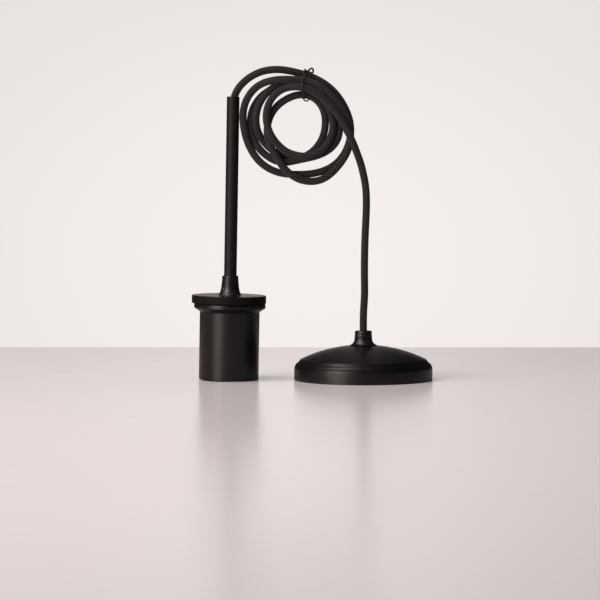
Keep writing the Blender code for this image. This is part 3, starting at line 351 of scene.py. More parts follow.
class NodeBench:
    """A node tree, with short calls to add nodes and join them."""

    def __init__(self, tree: bpy.types.NodeTree) -> None:
        """Starts on a tree."""
        self.tree = tree

    def node(self, kind: str, **settings: object) -> bpy.types.Node:
        """Adds a node of a kind and sets its properties."""
        made = self.tree.nodes.new(kind)
        for key, value in settings.items():
            setattr(made, key, value)
        return made

    def feed(self, target: bpy.types.NodeSocket, value: object) -> None:
        """Joins a socket to the target, or writes a number or a colour on it."""
        if isinstance(value, bpy.types.NodeSocket):
            self.tree.links.new(value, target)
        else:
            target.default_value = (*value, 1.0) if isinstance(value, tuple) else value

    def math(self, operation: str, *values: object) -> bpy.types.NodeSocket:
        """Adds a Math node and gives its result."""
        made = self.node("ShaderNodeMath", operation=operation)
        for socket, value in zip(made.inputs, values):
            self.feed(socket, value)
        return made.outputs[0]

    def split(self, vector: bpy.types.NodeSocket) -> list[bpy.types.NodeSocket]:
        """The three parts of a vector."""
        made = self.node("ShaderNodeSeparateXYZ")
        self.feed(made.inputs[0], vector)
        return list(made.outputs)

    def mix(self, kind: Mix, share: object, low: object, high: object) -> bpy.types.NodeSocket:
        """A number or a colour between two, by a share from 0 to 1."""
        data_type, *sockets, result = kind.value
        made = self.node("ShaderNodeMix", data_type=data_type)
        for socket, value in zip(sockets, (share, low, high)):
            self.feed(made.inputs[socket], value)
        return made.outputs[result]

    def ease(self, value: object, span: Span, low: float, high: float) -> bpy.types.NodeSocket:
        """Goes smoothly from low to high while a value crosses a span."""
        made = self.node("ShaderNodeMapRange", interpolation_type="SMOOTHSTEP")
        for socket, number in zip(made.inputs, (value, *span, low, high)):
            self.feed(socket, number)
        return made.outputs["Result"]

    def glow(self, colour: object, strength: object) -> bpy.types.NodeSocket:
        """Background light of a colour and a strength."""
        made = self.node("ShaderNodeBackground")
        self.feed(made.inputs["Color"], colour)
        self.feed(made.inputs["Strength"], strength)
        return made.outputs[0]


class MaterialBench(NodeBench):
    """The node tree of a new material with one shader."""

    def __init__(self, name: str) -> None:
        """Starts a material that holds one shader."""
        self.material = bpy.data.materials.new(name)
        self.material.use_nodes = True
        super().__init__(self.material.node_tree)
        self.shader = self.tree.nodes["Principled BSDF"]

    def place(self, scale: Point = (1.0, 1.0, 1.0)) -> bpy.types.NodeSocket:
        """Object coordinates, stretched by a scale."""
        coordinates = self.node("ShaderNodeTexCoord").outputs["Object"]
        mapping = self.node("ShaderNodeMapping")
        mapping.inputs["Scale"].default_value = scale
        self.feed(mapping.inputs["Vector"], coordinates)
        return mapping.outputs["Vector"]

    def noise(self, where: bpy.types.NodeSocket, scale: float, detail: float = 2.0) -> bpy.types.NodeSocket:
        """Noise from 0 to 1 at a scale given per metre."""
        made = self.node("ShaderNodeTexNoise")
        made.inputs["Scale"].default_value = scale
        made.inputs["Detail"].default_value = detail
        self.feed(made.inputs["Vector"], where)
        return made.outputs["Fac"]

    def spread(self, share: object, low: float, high: float) -> bpy.types.NodeSocket:
        """Maps 0 to 1 onto a range of numbers."""
        made = self.node("ShaderNodeMapRange")
        self.feed(made.inputs["Value"], share)
        made.inputs["To Min"].default_value = low
        made.inputs["To Max"].default_value = high
        return made.outputs["Result"]

    def bump(self, height: bpy.types.NodeSocket, distance: float) -> None:
        """Lifts the shader's surface by a height, in metres at height 1."""
        made = self.node("ShaderNodeBump")
        made.inputs["Distance"].default_value = distance
        made.inputs["Strength"].default_value = 1.0
        self.feed(made.inputs["Height"], height)
        self.feed(self.shader.inputs["Normal"], made.outputs["Normal"])

    def surface(self, colour: object, roughness: object, metallic: float = 0.0) -> None:
        """Feeds the shader's colour, roughness and metallic."""
        self.feed(self.shader.inputs["Base Color"], colour)
        self.feed(self.shader.inputs["Roughness"], roughness)
        self.shader.inputs["Metallic"].default_value = metallic


@dataclass(frozen=True)
class PowderCoat:
    """Satin black coat with a fine grain, a little thinner and shinier in patches.

    Painted shade and highlight in the gloss: a surface that faces down gets less
    of it, which dims the table's reflection there, and the slope of a foot gets
    more, which brightens its highlight. The spans say how far up a surface faces,
    from -1 to 1, where such a change goes.
    """

    dark: Colour = (0.0030, 0.0024, 0.0022)
    light: Colour = (0.0054, 0.0042, 0.0038)
    smooth: float = 0.30
    rough: float = 0.38
    gloss: float = 0.29
    shade_gloss_below: float = 0.35
    painted_highlight_gain: float = 1.0
    grain: float = 2600.0
    patches: float = 45.0
    relief: float = 0.012 * MM
    polished_top: float = 0.0
    patch_share: float = 0.6
    below: Span = (-0.45, -0.12)
    slope: Span = (0.10, 0.32)
    level: Span = (0.62, 0.85)
    top: Span = (0.85, 0.98)

    def material(self, name: str) -> bpy.types.Material:
        """Builds the finish as a material."""
        bench = MaterialBench(name)
        where = bench.place()
        patch = bench.noise(where, self.patches)
        grain = bench.noise(where, self.grain, 3.0)
        worn = bench.math("MULTIPLY", patch, self.patch_share)
        mixed = bench.math("MULTIPLY_ADD", grain, 1.0 - self.patch_share, worn)
        roughness = bench.spread(mixed, self.smooth, self.rough)
        upward = bench.split(bench.node("ShaderNodeNewGeometry").outputs["Normal"])[2]
        if self.polished_top > 0.0:
            fall = bench.math("MULTIPLY", bench.ease(upward, self.top, 0.0, 1.0), -self.polished_top)
            roughness = bench.math("ADD", roughness, fall)
        bench.surface(bench.mix(Mix.COLOUR, patch, self.dark, self.light), roughness)
        # Painted shade and highlight: the gloss is cut on faces that point down and raised on a foot's
        # slope, by which way each surface faces.
        gloss = bench.ease(upward, self.below, self.shade_gloss_below * self.gloss, self.gloss)
        if self.painted_highlight_gain > 1.0:
            foot_highlight = bench.ease(upward, self.slope, 1.0, self.painted_highlight_gain)
            flat = bench.ease(upward, self.level, 1.0, 1.0 / self.painted_highlight_gain)
            gloss = bench.math("MULTIPLY", gloss, bench.math("MULTIPLY", foot_highlight, flat))
        bench.feed(bench.shader.inputs["Specular IOR Level"], gloss)
        bench.bump(grain, self.relief)
        return bench.material


@dataclass(frozen=True)
class Moulding:
    """Plastic or ceramic: an even colour with faint mottling and a fine texture.

    The tint's two factors on the colour are the darkest and the lightest of the
    mottling. The swing is added to the roughness, and follows the texture.
    """

    colour: Colour
    roughness: float = 0.45
    tint: Span = (0.88, 1.12)
    texture: float = 1400.0
    relief: float = 0.008 * MM
    coat: float = 0.0
    swing: Span = (-0.05, 0.05)
    mottle: float = 160.0
    stretch: Point = (1.0, 1.0, 1.0)
    detail: float = 2.0
    metallic: float = 0.0

    def material(self, name: str) -> bpy.types.Material:
        """Builds the finish as a material."""
        bench = MaterialBench(name)
        low, high = (tuple(min(1.0, c * factor) for c in self.colour) for factor in self.tint)
        cloud = bench.noise(bench.place(), self.mottle)
        fine = bench.noise(bench.place(self.stretch), self.texture, self.detail)
        roughness = bench.spread(fine, *(self.roughness + offset for offset in self.swing))
        bench.surface(bench.mix(Mix.COLOUR, cloud, low, high), roughness, self.metallic)
        bench.shader.inputs["Coat Weight"].default_value = self.coat
        if self.relief > 0.0:
            bench.bump(fine, self.relief)
        return bench.material


@dataclass(frozen=True)
class BareMetal(Moulding):
    """Brass or plated steel, whose texture is tool marks along one direction."""

    roughness: float = 0.28
    tint: Span = (0.82, 1.0)
    texture: float = 1.0
    relief: float = 0.006 * MM
    swing: Span = (-0.07, 0.1)
    mottle: float = 90.0
    stretch: Point = (120.0, 120.0, 2600.0)
    detail: float = 4.0
    metallic: float = 1.0


@dataclass(frozen=True)
class TableTop(Moulding):
    """Pale, slightly glossy table with the faintest unevenness."""

    colour: Colour = (0.776, 0.758, 0.784)
    roughness: float = 0.24
    tint: Span = (0.985, 1.0)
    texture: float = 40.0
    relief: float = 0.0
    swing: Span = (-0.02, 0.02)
    mottle: float = 6.0


@dataclass(frozen=True)
class TwoColour:
    """Core insulation of one colour with a stripe of a second along it."""

    ground: Colour
    stripe: Colour
    pitch: float = 0.9 * MM
    threshold: float = 0.2
    roughness: float = 0.45
    texture: float = 2200.0
    relief: float = 0.005 * MM

    def material(self, name: str) -> bpy.types.Material:
        """Builds the finish as a material."""
        bench = MaterialBench(name)
        x, y, _ = bench.split(bench.place())
        phase = bench.math("MULTIPLY", bench.math("ADD", x, y), math.tau / self.pitch)
        share = bench.math("GREATER_THAN", bench.math("SINE", phase), self.threshold)
        bench.surface(bench.mix(Mix.COLOUR, share, self.ground, self.stripe), self.roughness)
        bench.bump(bench.noise(bench.place(), self.texture), self.relief)
        return bench.material


@dataclass(frozen=True)
class Braid:
    """Braided textile sleeve.

    Two families of strands cross: p = carriers u + v / pick and q = carriers u
    minus v / pick. In each cell one family lies on top, by the parity of the
    cell, and its strand is crowned across itself and sinks where it dives.
    """

    # Dark colour of the weave's valleys: painted shade between the strands.
    gap: Colour = (0.0014, 0.0013, 0.0013)
    strand: Colour = (0.0120, 0.0110, 0.0106)
    fleck: Colour = (0.0430, 0.0392, 0.0378)
    carriers: float = 9.0
    pick: float = 3.3 * MM
    relief: float = 0.42 * MM
    dive: float = 0.45
    fibre: float = 3800.0
    fibre_relief: float = 0.25
    roughness: Span = (0.72, 0.92)
    sheen: float = 0.12
    sheen_least: float = 0.01
    sheen_roughness: float = 0.45
    gloss: float = 0.6

    def turn_and_length(self, bench: MaterialBench, axis: Span | None) -> tuple:
        """Sockets of the turn, 0 to 1, and of the length along the cord.

        Args:
            bench: The material's nodes.
            axis: X and Y of an upright cord without a UV map, or None.

        Returns:
            The turn and the length, in metres.
        """
        if axis is None:
            return bench.split(bench.node("ShaderNodeUVMap", uv_map="cord").outputs[0])[:2]
        x, y, z = bench.split(bench.node("ShaderNodeTexCoord").outputs["Object"])
        x, y = bench.math("SUBTRACT", x, axis[0]), bench.math("SUBTRACT", y, axis[1])
        return bench.math("DIVIDE", bench.math("ARCTAN2", y, x), math.tau), z

    def material(self, name: str, axis: Span | None = None) -> bpy.types.Material:
        """Builds the finish as a material, from the UV map or round an axis."""
        bench = MaterialBench(name)
        turn, length = self.turn_and_length(bench, axis)
        across = bench.math("MULTIPLY", turn, self.carriers)
        family = [bench.math("MULTIPLY_ADD", length, way / self.pick, across) for way in (1.0, -1.0)]
        parity = bench.math("PINGPONG", bench.math("ADD", *(bench.math("FLOOR", f) for f in family)), 1.0)
        waves = [bench.math("SINE", bench.math("MULTIPLY", f, math.pi)) for f in family]
        crowns = [bench.math("ABSOLUTE", wave) for wave in waves]
        lifts = [
            bench.math("MULTIPLY", own, bench.math("MULTIPLY_ADD", other, self.dive, 1.0 - self.dive))
            for own, other in (crowns, crowns[::-1])
        ]
        height = bench.mix(Mix.NUMBER, parity, *lifts)
        fibre = bench.noise(bench.place(), self.fibre, 3.0)
        flecked = bench.mix(Mix.COLOUR, fibre, self.strand, self.fleck)
        # Painted shade: where the weave sinks, the colour goes towards the dark gap colour and the sheen
        # and gloss fall with it.
        tone_with_painted_shade = bench.mix(Mix.COLOUR, height, self.gap, flecked)
        bench.surface(tone_with_painted_shade, bench.spread(fibre, *self.roughness))
        sheen = bench.math("MULTIPLY_ADD", height, self.sheen, self.sheen_least)
        bench.feed(bench.shader.inputs["Sheen Weight"], sheen)
        bench.feed(bench.shader.inputs["Sheen Roughness"], self.sheen_roughness)
        bench.feed(bench.shader.inputs["Specular IOR Level"], bench.math("MULTIPLY", height, self.gloss))
        bench.bump(bench.math("MULTIPLY_ADD", fibre, self.fibre_relief, height), self.relief)
        return bench.material


@dataclass(frozen=True)
class Finishes:
    """Every finish that the fitting needs."""

    coat: PowderCoat = PowderCoat()
    matte: PowderCoat = PowderCoat(
        smooth=0.58, rough=0.68, gloss=0.12, relief=0.02 * MM, polished_top=0.32
    )
    shell: PowderCoat = PowderCoat(smooth=0.32, rough=0.40, gloss=0.28)
    drawn: PowderCoat = PowderCoat(smooth=0.53, rough=0.62, gloss=0.23)
    turned: PowderCoat = PowderCoat(smooth=0.37, rough=0.46, gloss=0.27, painted_highlight_gain=3.6)
    screw: PowderCoat = PowderCoat(smooth=0.17, rough=0.24, gloss=0.95)
    resin: Moulding = Moulding((0.018, 0.017, 0.0165), 0.42)
    nylon: Moulding = Moulding((0.74, 0.71, 0.63), 0.48, (0.95, 1.05))
    ceramic: Moulding = Moulding((0.80, 0.77, 0.71), 0.22, (0.97, 1.03), 600.0, 0.01 * MM, 0.6)
    brass: BareMetal = BareMetal((0.74, 0.53, 0.23))
    zinc: BareMetal = BareMetal((0.58, 0.60, 0.62), 0.32)
    brown: Moulding = Moulding((0.13, 0.055, 0.026), 0.45, (0.94, 1.06))
    blue: Moulding = Moulding((0.02, 0.11, 0.42), 0.45, (0.94, 1.06))
    green: TwoColour = TwoColour((0.08, 0.32, 0.05), (0.80, 0.66, 0.06))
    braid: Braid = Braid()
    string: Moulding = Moulding((0.014, 0.0125, 0.012), 0.7, (0.7, 1.3), 5200.0, 0.06 * MM)


def dress(obj: bpy.types.Object, material: bpy.types.Material) -> None:
    """Gives an object one material in place of those it has."""
    obj.data.materials.clear()
    obj.data.materials.append(material)


def settle_piece(obj: bpy.types.Object, material: bpy.types.Material, slot: Slot, *nodes: str) -> None:
    """Dresses a piece, rides it on the fitting in place of solids, and logs it.

    Args:
        obj: The finished piece.
        material: Its material.
        slot: The record's material slot for it. Not used.
        nodes: Solids that it stands for.
    """
    dress(obj, material)
    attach(obj, "root")
    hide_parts(*nodes)
    LOG.info("%s: %d faces", obj.name, len(obj.data.polygons))


# The fitting


@dataclass(frozen=True)
class SocketScrew:
    """Headless screw with a chamfered rim and a blind socket half as wide."""

    radius: float
    chamfer: float
    depth: float
    steps: int
    edge: float = 0.1 * MM
    cone: float = 0.2 * MM
    tip: float = 0.02 * MM

    def grid(self, near: float, far: float) -> np.ndarray:
        """Grid of the screw about its own axis, from its end to its face."""
        socket = 0.5 * self.radius
        corners = [
            (self.tip, far - self.depth - self.cone),
            (socket, far - self.depth),
            (socket, far, self.edge),
            (self.radius, far, self.chamfer),
            (self.radius, near),
            (self.tip, near),
        ]
        return revolve(fillet(corners, 4), self.steps)


@dataclass
class LampHolder:
    """Cup, disc, collar and stem, all on one axis that leans a little."""

    drop: float = 0.424 * MM
    tilt: float = math.radians(1.0)
    steps: int = 160
    hole: float = 5.35 * MM
    cup_radius: float = 24.87 * MM
    cup_wall: float = 1.2 * MM
    cup_straight: float = 56.3 * MM
    cup_height: float = 63.0 * MM
    cup_top: float = 1.6 * MM
    flange_radius: float = 29.7 * MM
    flange_edge: float = 3.5 * MM
    disc_radius: float = 30.92 * MM
    disc_base: float = 63.3 * MM
    disc_top: float = 70.0 * MM
    disc_shift: float = 0.8 * MM
    collar_base: float = 70.3 * MM
    collar_height: float = 15.9 * MM
    collar_radius: float = 6.58 * MM
    collar_taper: float = 0.066
    collar_flare: float = 2.0 * MM
    collar_flare_height: float = 2.8 * MM
    collar_edge: float = 0.4 * MM
    collar_steps: int = 96
    screw_height: float = 4.6 * MM
    screw: SocketScrew = SocketScrew(1.65 * MM, 0.62 * MM, 0.9 * MM, 36)
    screw_proud: float = 0.85 * MM
    screw_gap: float = 0.2 * MM
    screw_side: float = math.radians(226.0)
    stem_radius: float = 5.25 * MM
    stem_wall: float = 1.2 * MM
    stem_top: float = 235.0 * MM
    stem_end: float = 48.8 * MM
    stem_steps: int = 72

    def stand(self, points: np.ndarray) -> np.ndarray:
        """Takes points from the holder's own axis to the row frame."""
        return lean(points, (HOLDER_X, 0.0, self.drop), self.tilt)

    def mouth(self) -> np.ndarray:
        """Middle of the stem's top, where the cord leaves."""
        return self.stand(np.array([0.0, 0.0, self.stem_top]))

    def cup(self) -> np.ndarray:
        """Grid of the spun cup: wall, cone and flange, with its inner face."""
        inside = self.cup_radius - self.cup_wall
        flange_inside = self.flange_radius - self.cup_wall
        cone_top = self.cup_height - self.flange_edge
        corners = [
            (self.hole, self.cup_height),
            (self.flange_radius, self.cup_height, 0.5 * MM),
            (self.flange_radius, cone_top, 0.35 * MM),
            (self.cup_radius, self.cup_straight, 0.9 * MM),
            (self.cup_radius, 0.0, 0.35 * MM),
            (inside, 0.0, 0.2 * MM),
            (inside, self.cup_straight + self.cup_wall / 2, 0.5 * MM),
            (flange_inside, cone_top + self.cup_wall / 2, 0.3 * MM),
            (flange_inside, self.cup_height - self.cup_top, 0.5 * MM),
            (self.hole, self.cup_height - self.cup_top),
        ]
        return self.stand(revolve(fillet(corners, 5), self.steps))

    def disc(self) -> np.ndarray:
        """Grid of the loose disc, pushed off the axis."""
        hole = self.hole + self.disc_shift
        corners = [
            (hole, self.disc_top, 0.25 * MM),
            (self.disc_radius, self.disc_top, 0.7 * MM),
            (self.disc_radius, self.disc_base, 0.7 * MM),
            (hole, self.disc_base, 0.25 * MM),
        ]
        grid = revolve(fillet(corners, 6), self.steps)
        return self.stand(grid + np.array([-self.disc_shift, 0.0, 0.0]))

    def collar_at(self, height: np.ndarray | float) -> np.ndarray | float:
        """Radius of the collar: a slow taper plus a foot that dies away upwards
        as the exponential of minus the height."""
        taper = self.collar_radius + self.collar_taper * (self.collar_height - height)
        return taper + self.collar_flare * np.exp(-height / self.collar_flare_height)

    def collar(self) -> np.ndarray:
        """Grid of the collar with a soft top edge."""
        edge = self.collar_height - self.collar_edge
        heights = closing_heights(edge, 22)
        side = np.stack([self.collar_at(heights), heights], axis=1)
        lip = round_lip(side[0, 0] - self.collar_edge, edge, self.collar_edge, 5)
        bore = np.array([[self.hole, 0.0], [self.hole, self.collar_height]])
        turned = revolve(np.concatenate([lip, side, bore]), self.collar_steps)
        return self.stand(turned + np.array([0.0, 0.0, self.collar_base]))

    def stem(self) -> np.ndarray:
        """Grid of the stem tube with both ends rounded over."""
        bore = self.stem_radius - self.stem_wall
        corners = [
            (bore, self.stem_top, 0.3 * MM),
            (self.stem_radius, self.stem_top, 0.45 * MM),
            (self.stem_radius, self.stem_end),
            (bore, self.stem_end),
        ]
        return self.stand(revolve(fillet(corners, 5), self.stem_steps))

    def grip_screw(self) -> np.ndarray:
        """Grid of the grub screw, whose axis points out of the collar's side and
        whose face stands a little proud."""
        far = float(self.collar_at(self.screw_height)) + self.screw_proud
        turned = self.screw.grid(self.hole + self.screw_gap, far)
        c, s = math.cos(self.screw_side), math.sin(self.screw_side)
        laid = turned @ np.array([[-s, c, 0.0], [0.0, 0.0, 1.0], [c, s, 0.0]])
        return self.stand(laid + np.array([0.0, 0.0, self.collar_base + self.screw_height]))

    def build(self, finishes: Finishes) -> None:
        """Builds the holder's metal and dresses it."""
        for name, grid, node, finish, label in (
            ("holder_cup_spun", self.cup(), "holder_cup", finishes.coat, "holder_coat"),
            ("clamp_disc_turned", self.disc(), "clamp_disc", finishes.matte, "disc_matte"),
            ("stem_collar_turned", self.collar(), "stem_collar", finishes.turned, "collar_coat"),
            ("stem_tube_drawn", self.stem(), "stem_tube", finishes.drawn, "tube_coat"),
            ("grip_screw_socket", self.grip_screw(), "grip_screw", finishes.screw, "grip_screw_black"),
        ):
            slot = Slot.SCREW if node == "grip_screw" else Slot.BLACK
            settle_piece(ring_body(name, grid), finish.material(label), slot, node)


@dataclass
class CeilingCanopy:
    """Domed canopy and the neck that the cord goes into."""

    steps: int = 200
    radius: float = 57.58 * MM
    wall: float = 1.2 * MM
    rim: float = 12.03 * MM
    rim_round: float = 6.2 * MM
    cove: tuple[float, float, float] = (53.9 * MM, 14.85 * MM, 1.5 * MM)
    shoulder: float = 52.5 * MM
    shoulder_round: float = 0.9 * MM
    crown: float = 28.98 * MM
    bend: float = 120.0 * MM
    hole: float = 5.2 * MM
    neck_radius: float = 7.17 * MM
    neck_top: float = 40.8 * MM
    neck_flare: float = 4.2 * MM
    neck_flare_height: float = 1.75 * MM
    neck_lip: float = 1.35 * MM
    neck_groove: float = 0.28 * MM
    groove_drop: float = 2.7 * MM
    groove_width: float = 0.4 * MM
    neck_bore: float = 3.35 * MM
    neck_bevel: float = 0.4 * MM
    neck_steps: int = 96
    neck_thread: float = 4.9 * MM
    thread_length: float = 8.0 * MM
    gap: float = 0.3 * MM
    screw: SocketScrew = SocketScrew(1.4 * MM, 0.3 * MM, 0.8 * MM, 32)
    screw_height: float = 5.8 * MM
    screw_proud: float = 0.06 * MM
    screw_length: float = 3.0 * MM

    def dome(self, radius: np.ndarray | float, drop: float = 0.0) -> np.ndarray | float:
        """Height of the ball's cap at a radius. Drop gives the inner face."""
        return self.crown - self.bend + np.sqrt((self.bend - drop) ** 2 - np.square(radius))

    def stand(self, points: np.ndarray) -> np.ndarray:
        """Takes points from the canopy's axis to the row frame."""
        return points + np.array([CANOPY_X, 0.0, 0.0])

    def mouth(self) -> np.ndarray:
        """Middle of the neck's top, where the cord goes in."""
        return self.stand(np.array([0.0, 0.0, self.neck_top]))

    def shell(self) -> np.ndarray:
        """Grid of the spun shell, outside and inside."""
        radii = np.linspace(self.hole, self.shoulder, 15)
        inner_shoulder = self.shoulder - self.wall / 2
        inside = self.radius - self.wall
        corners = [(float(r), float(self.dome(r))) for r in radii[:-1]]
        corners += [
            (self.shoulder, float(self.dome(self.shoulder)), self.shoulder_round),
            self.cove,
            (self.radius, self.rim, self.rim_round),
            (self.radius, 0.0, 0.25 * MM),
            (inside, 0.0, 0.25 * MM),
            (inside, self.rim - self.wall, 4.0 * MM),
            (inner_shoulder, float(self.dome(inner_shoulder, self.wall)), 2.0 * MM),
        ]
        corners += [(float(r), float(self.dome(r, self.wall))) for r in radii[-2::-1]]
        return self.stand(revolve(fillet(corners, 9), self.steps))

    def neck(self) -> np.ndarray:
        """Grid of the neck: radius plus a foot that dies away upwards, a fine
        bell shaped groove under a round lip, a bore for the cord and a hollow
        thread below."""
        foot = float(self.dome(self.neck_radius + self.neck_flare)) + self.gap
        heights = closing_heights(self.neck_top - foot - self.neck_lip, 60)
        flare = self.neck_flare * np.exp(-heights / self.neck_flare_height)
        below_top = (self.neck_top - foot - heights - self.groove_drop) / self.groove_width
        groove = self.neck_groove * np.exp(-np.square(below_top))
        side = np.stack([self.neck_radius + flare - groove, foot + heights], axis=1)
        lip = round_lip(self.neck_radius - self.neck_lip, self.neck_top - self.neck_lip, self.neck_lip, 6)
        thread_top = float(self.dome(self.neck_thread)) + self.gap
        thread_end = float(self.dome(0.0)) - self.thread_length
        below = np.array(
            [
                [self.neck_thread, thread_top],
                [self.neck_thread, thread_end],
                [self.neck_bore, thread_end],
                [self.neck_bore, self.neck_top - self.neck_bevel],
                [self.neck_bore + self.neck_bevel, self.neck_top],
            ]
        )
        return self.stand(revolve(np.concatenate([lip, side, below]), self.neck_steps))

    def side_screw(self, side: int) -> np.ndarray:
        """Grid of a flush side screw, on the left (-1) or the right (1)."""
        far = self.radius + self.screw_proud
        turned = self.screw.grid(far - self.screw_length, far)
        laid = np.stack([side * turned[..., 2], turned[..., 0], turned[..., 1]], axis=-1)
        return self.stand(laid + np.array([0.0, 0.0, self.screw_height]))

    def build(self, finishes: Finishes) -> None:
        """Builds the canopy's metal and dresses it."""
        for name, grid, node, finish in (
            ("canopy_shell_spun", self.shell(), "canopy_shell", finishes.shell),
            ("canopy_neck_turned", self.neck(), "canopy_neck", finishes.turned),
        ):
            settle_piece(ring_body(name, grid), finish.material(f"{node}_coat"), Slot.BLACK, node)
        black = finishes.screw.material("side_screw_black")
        for label, side in (("left", -1), ("right", 1)):
            piece = ring_body(f"side_screw_{label}_socket", self.side_screw(side))
            settle_piece(piece, black, Slot.SCREW, f"side_screw_{label}")


@dataclass
class FreeCord:
    """The cord from the stem to the canopy, five turns and a part of a sixth.

    Points are x from the canopy's axis, a depth and a height, in millimetres.
    Each turn is a row of radii round the coil's middle and a row of depths,
    clockwise from the top. The cord is stiff, so the turns differ and cross.
    """

    radius: float = 3.06 * MM
    columns: int = 32
    ring_spacing: float = 0.9 * MM
    middle: tuple[float, float] = (-55.07, 211.56)
    rise: tuple[Point, ...] = (
        (-107.4, 0.0, 234.2), (-106.5, 0.0, 237.0), (-105.0, 0.1, 240.2), (-102.6, 0.3, 243.8),
        (-99.2, 0.5, 247.4), (-95.1, 0.7, 250.8), (-90.4, 0.8, 253.6), (-85.0, 1.4, 255.9),
        (-78.8, 2.2, 257.3), (-72.6, 3.2, 257.8), (-66.0, 4.2, 257.4),
    )
    radii: tuple[tuple[float, ...], ...] = (
        (43.7, 41.5, 41.2, 42.0, 44.2, 45.6, 45.3, 42.6, 40.8, 42.1, 43.2, 43.3, 44.5, 46.8, 46.0, 41.0),
        (37.5, 36.9, 37.2, 38.9, 43.2, 46.4, 47.9, 49.1, 43.9, 34.9, 29.0, 26.4, 24.5, 23.4, 23.0, 23.4),
        (25.0, 26.4, 26.1, 24.6, 23.3, 23.3, 24.2, 25.8, 27.6, 28.3, 29.1, 31.4, 33.9, 35.6, 36.8, 37.3),
        (38.0, 37.6, 36.6, 35.8, 35.3, 35.1, 31.9, 28.8, 28.9, 33.1, 35.7, 37.7, 38.9, 39.0, 37.6, 34.9),
        (32.4, 31.8, 30.9, 29.8, 29.7, 29.3, 28.7, 27.2, 24.8, 23.4, 22.5, 23.0, 24.7, 27.5, 30.4, 32.2),
        (31.9, 31.3, 31.1, 33.3, 39.0),
    )
    depths: tuple[tuple[float, ...], ...] = (
        (5.0, 6.0, 6.5, 5.5, 3.5, 2.5, 0.5, 0.0),
        (-3.8, -3.0, -1.5, -1.5, -3.0, -3.8, 0.5, 2.0),
        (3.8, 2.4, 1.5, 3.0, 6.0, 3.0, -1.5, -2.0),
        (1.9, 2.9, 1.6, 1.0, 1.0, 1.5, 3.0, 4.5),
        (2.4, 0.0, -1.0, -2.5, -4.5, -6.0, -5.6, -5.5),
        (-6.0, -6.2, -6.5),
    )
    drop: tuple[Point, ...] = (
        (-7.7, -3.4, 194.4), (-5.1, -3.4, 187.6), (-3.2, -3.2, 182.4), (-0.5, -2.2, 172.5),
        (1.5, -1.2, 162.5), (2.3, -0.4, 152.5), (2.4, 0.0, 145.0), (1.8, 0.0, 129.0),
        (1.2, 0.0, 114.0), (0.9, 0.0, 99.0), (0.9, 0.0, 84.0), (0.9, 0.0, 69.0), (0.3, 0.0, 59.0),
        (0.0, 0.0, 49.0),
    )
    rounds: int = 260
    clear: float = 2.02
    apart: float = 2.5
    held: int = 6
    push: float = 0.5
    crowding: float = 0.7
    stiffness: float = 0.45
    gather: float = 0.004
    path: np.ndarray = field(default_factory=lambda: np.zeros((0, 3)))

    def turns(self) -> np.ndarray:
        """Points of the coil: each station's radius and depth at its angle.

        Station k of n in a turn lies at the angle 90 degrees minus 360 k / n,
        and the depths, given at half as many stations, are read between.
        """
        per_turn = len(self.radii[0])
        radius, depth_row = np.concatenate(self.radii), np.concatenate(self.depths)
        index = np.arange(len(radius))
        angle = math.pi / 2 - math.tau * index / per_turn
        depth = np.interp(index * len(self.depths[0]) / per_turn, np.arange(len(depth_row)), depth_row)
        x, z = self.middle[0] + radius * np.cos(angle), self.middle[1] + radius * np.sin(angle)
        return np.stack([x, depth, z], axis=1)

    def settle(self, path: np.ndarray) -> np.ndarray:
        """Lets the turns find their depth beside each other.

        In each round, two points that are closer than a diameter, and more than
        two and a half diameters apart along the cord, push each other apart in
        depth. Then each point moves towards the middle of its two neighbours in
        depth, and a little back towards the coil's plane.

        Args:
            path: Points along the cord, about half a diameter apart.

        Returns:
            The settled points.
        """
        width = self.clear * self.radius
        spacing = float(np.linalg.norm(np.diff(path, axis=0), axis=1).mean())
        index = np.arange(len(path))
        far = np.abs(index[:, None] - index[None, :]) > max(2, round(self.apart * width / spacing))
        order = np.sign(path[:, None, 1] - path[None, :, 1] + 1e-9)
        loose = np.ones(len(path))
        loose[: self.held] = loose[-self.held :] = 0.0
        for _ in range(self.rounds):
            step = path[:, None] - path[None, :]
            flat = np.hypot(step[..., 0], step[..., 2])
            need = np.sqrt(np.maximum(width**2 - flat**2, 0.0))
            lack = np.maximum(np.where(far & (flat < width), need - order * step[..., 1], 0.0), 0.0)
            busy = np.maximum((lack > 0.0).sum(axis=1), 1)
            path[:, 1] += loose * self.push * (lack * order).sum(axis=1) / busy**self.crowding
            middle = (path[:-2, 1] + path[2:, 1]) / 2
            path[1:-1, 1] += loose[1:-1] * self.stiffness * (middle - path[1:-1, 1])
            path[:, 1] -= loose * self.gather * path[:, 1]
        return path

    def lay(self, neck: np.ndarray) -> None:
        """Works out the whole centre line, which starts just inside the stem.

        Args:
            neck: Middle of the neck's top, where it ends.
        """
        points = np.concatenate([self.rise, self.turns(), self.drop])
        whole = np.concatenate([points * MM + np.array([CANOPY_X, 0.0, 0.0]), neck[None]])
        self.path = spline(self.settle(spline(whole, self.radius)), self.ring_spacing)

    def length(self) -> float:
        """Length of the centre line."""
        return float(distance_along(self.path)[-1])

    def build(self, finishes: Finishes, exit_point: np.ndarray, others: list[bpy.types.Object]) -> None:
        """Args:
            finishes: The fitting's finishes.
            exit_point: Where the cord leaves the stem. Not used.
            others: Separate pieces on the cord. Not used.
        """
        piece = tube_body("free_cord_braided", [(self.path, self.radius)], self.columns, (0.0, 1.0, 0.0))
        braid = finishes.braid.material("free_cord_braid")
        settle_piece(piece, braid, Slot.TEXTILE, "cord_rise", "cord_coil", "cord_drop")


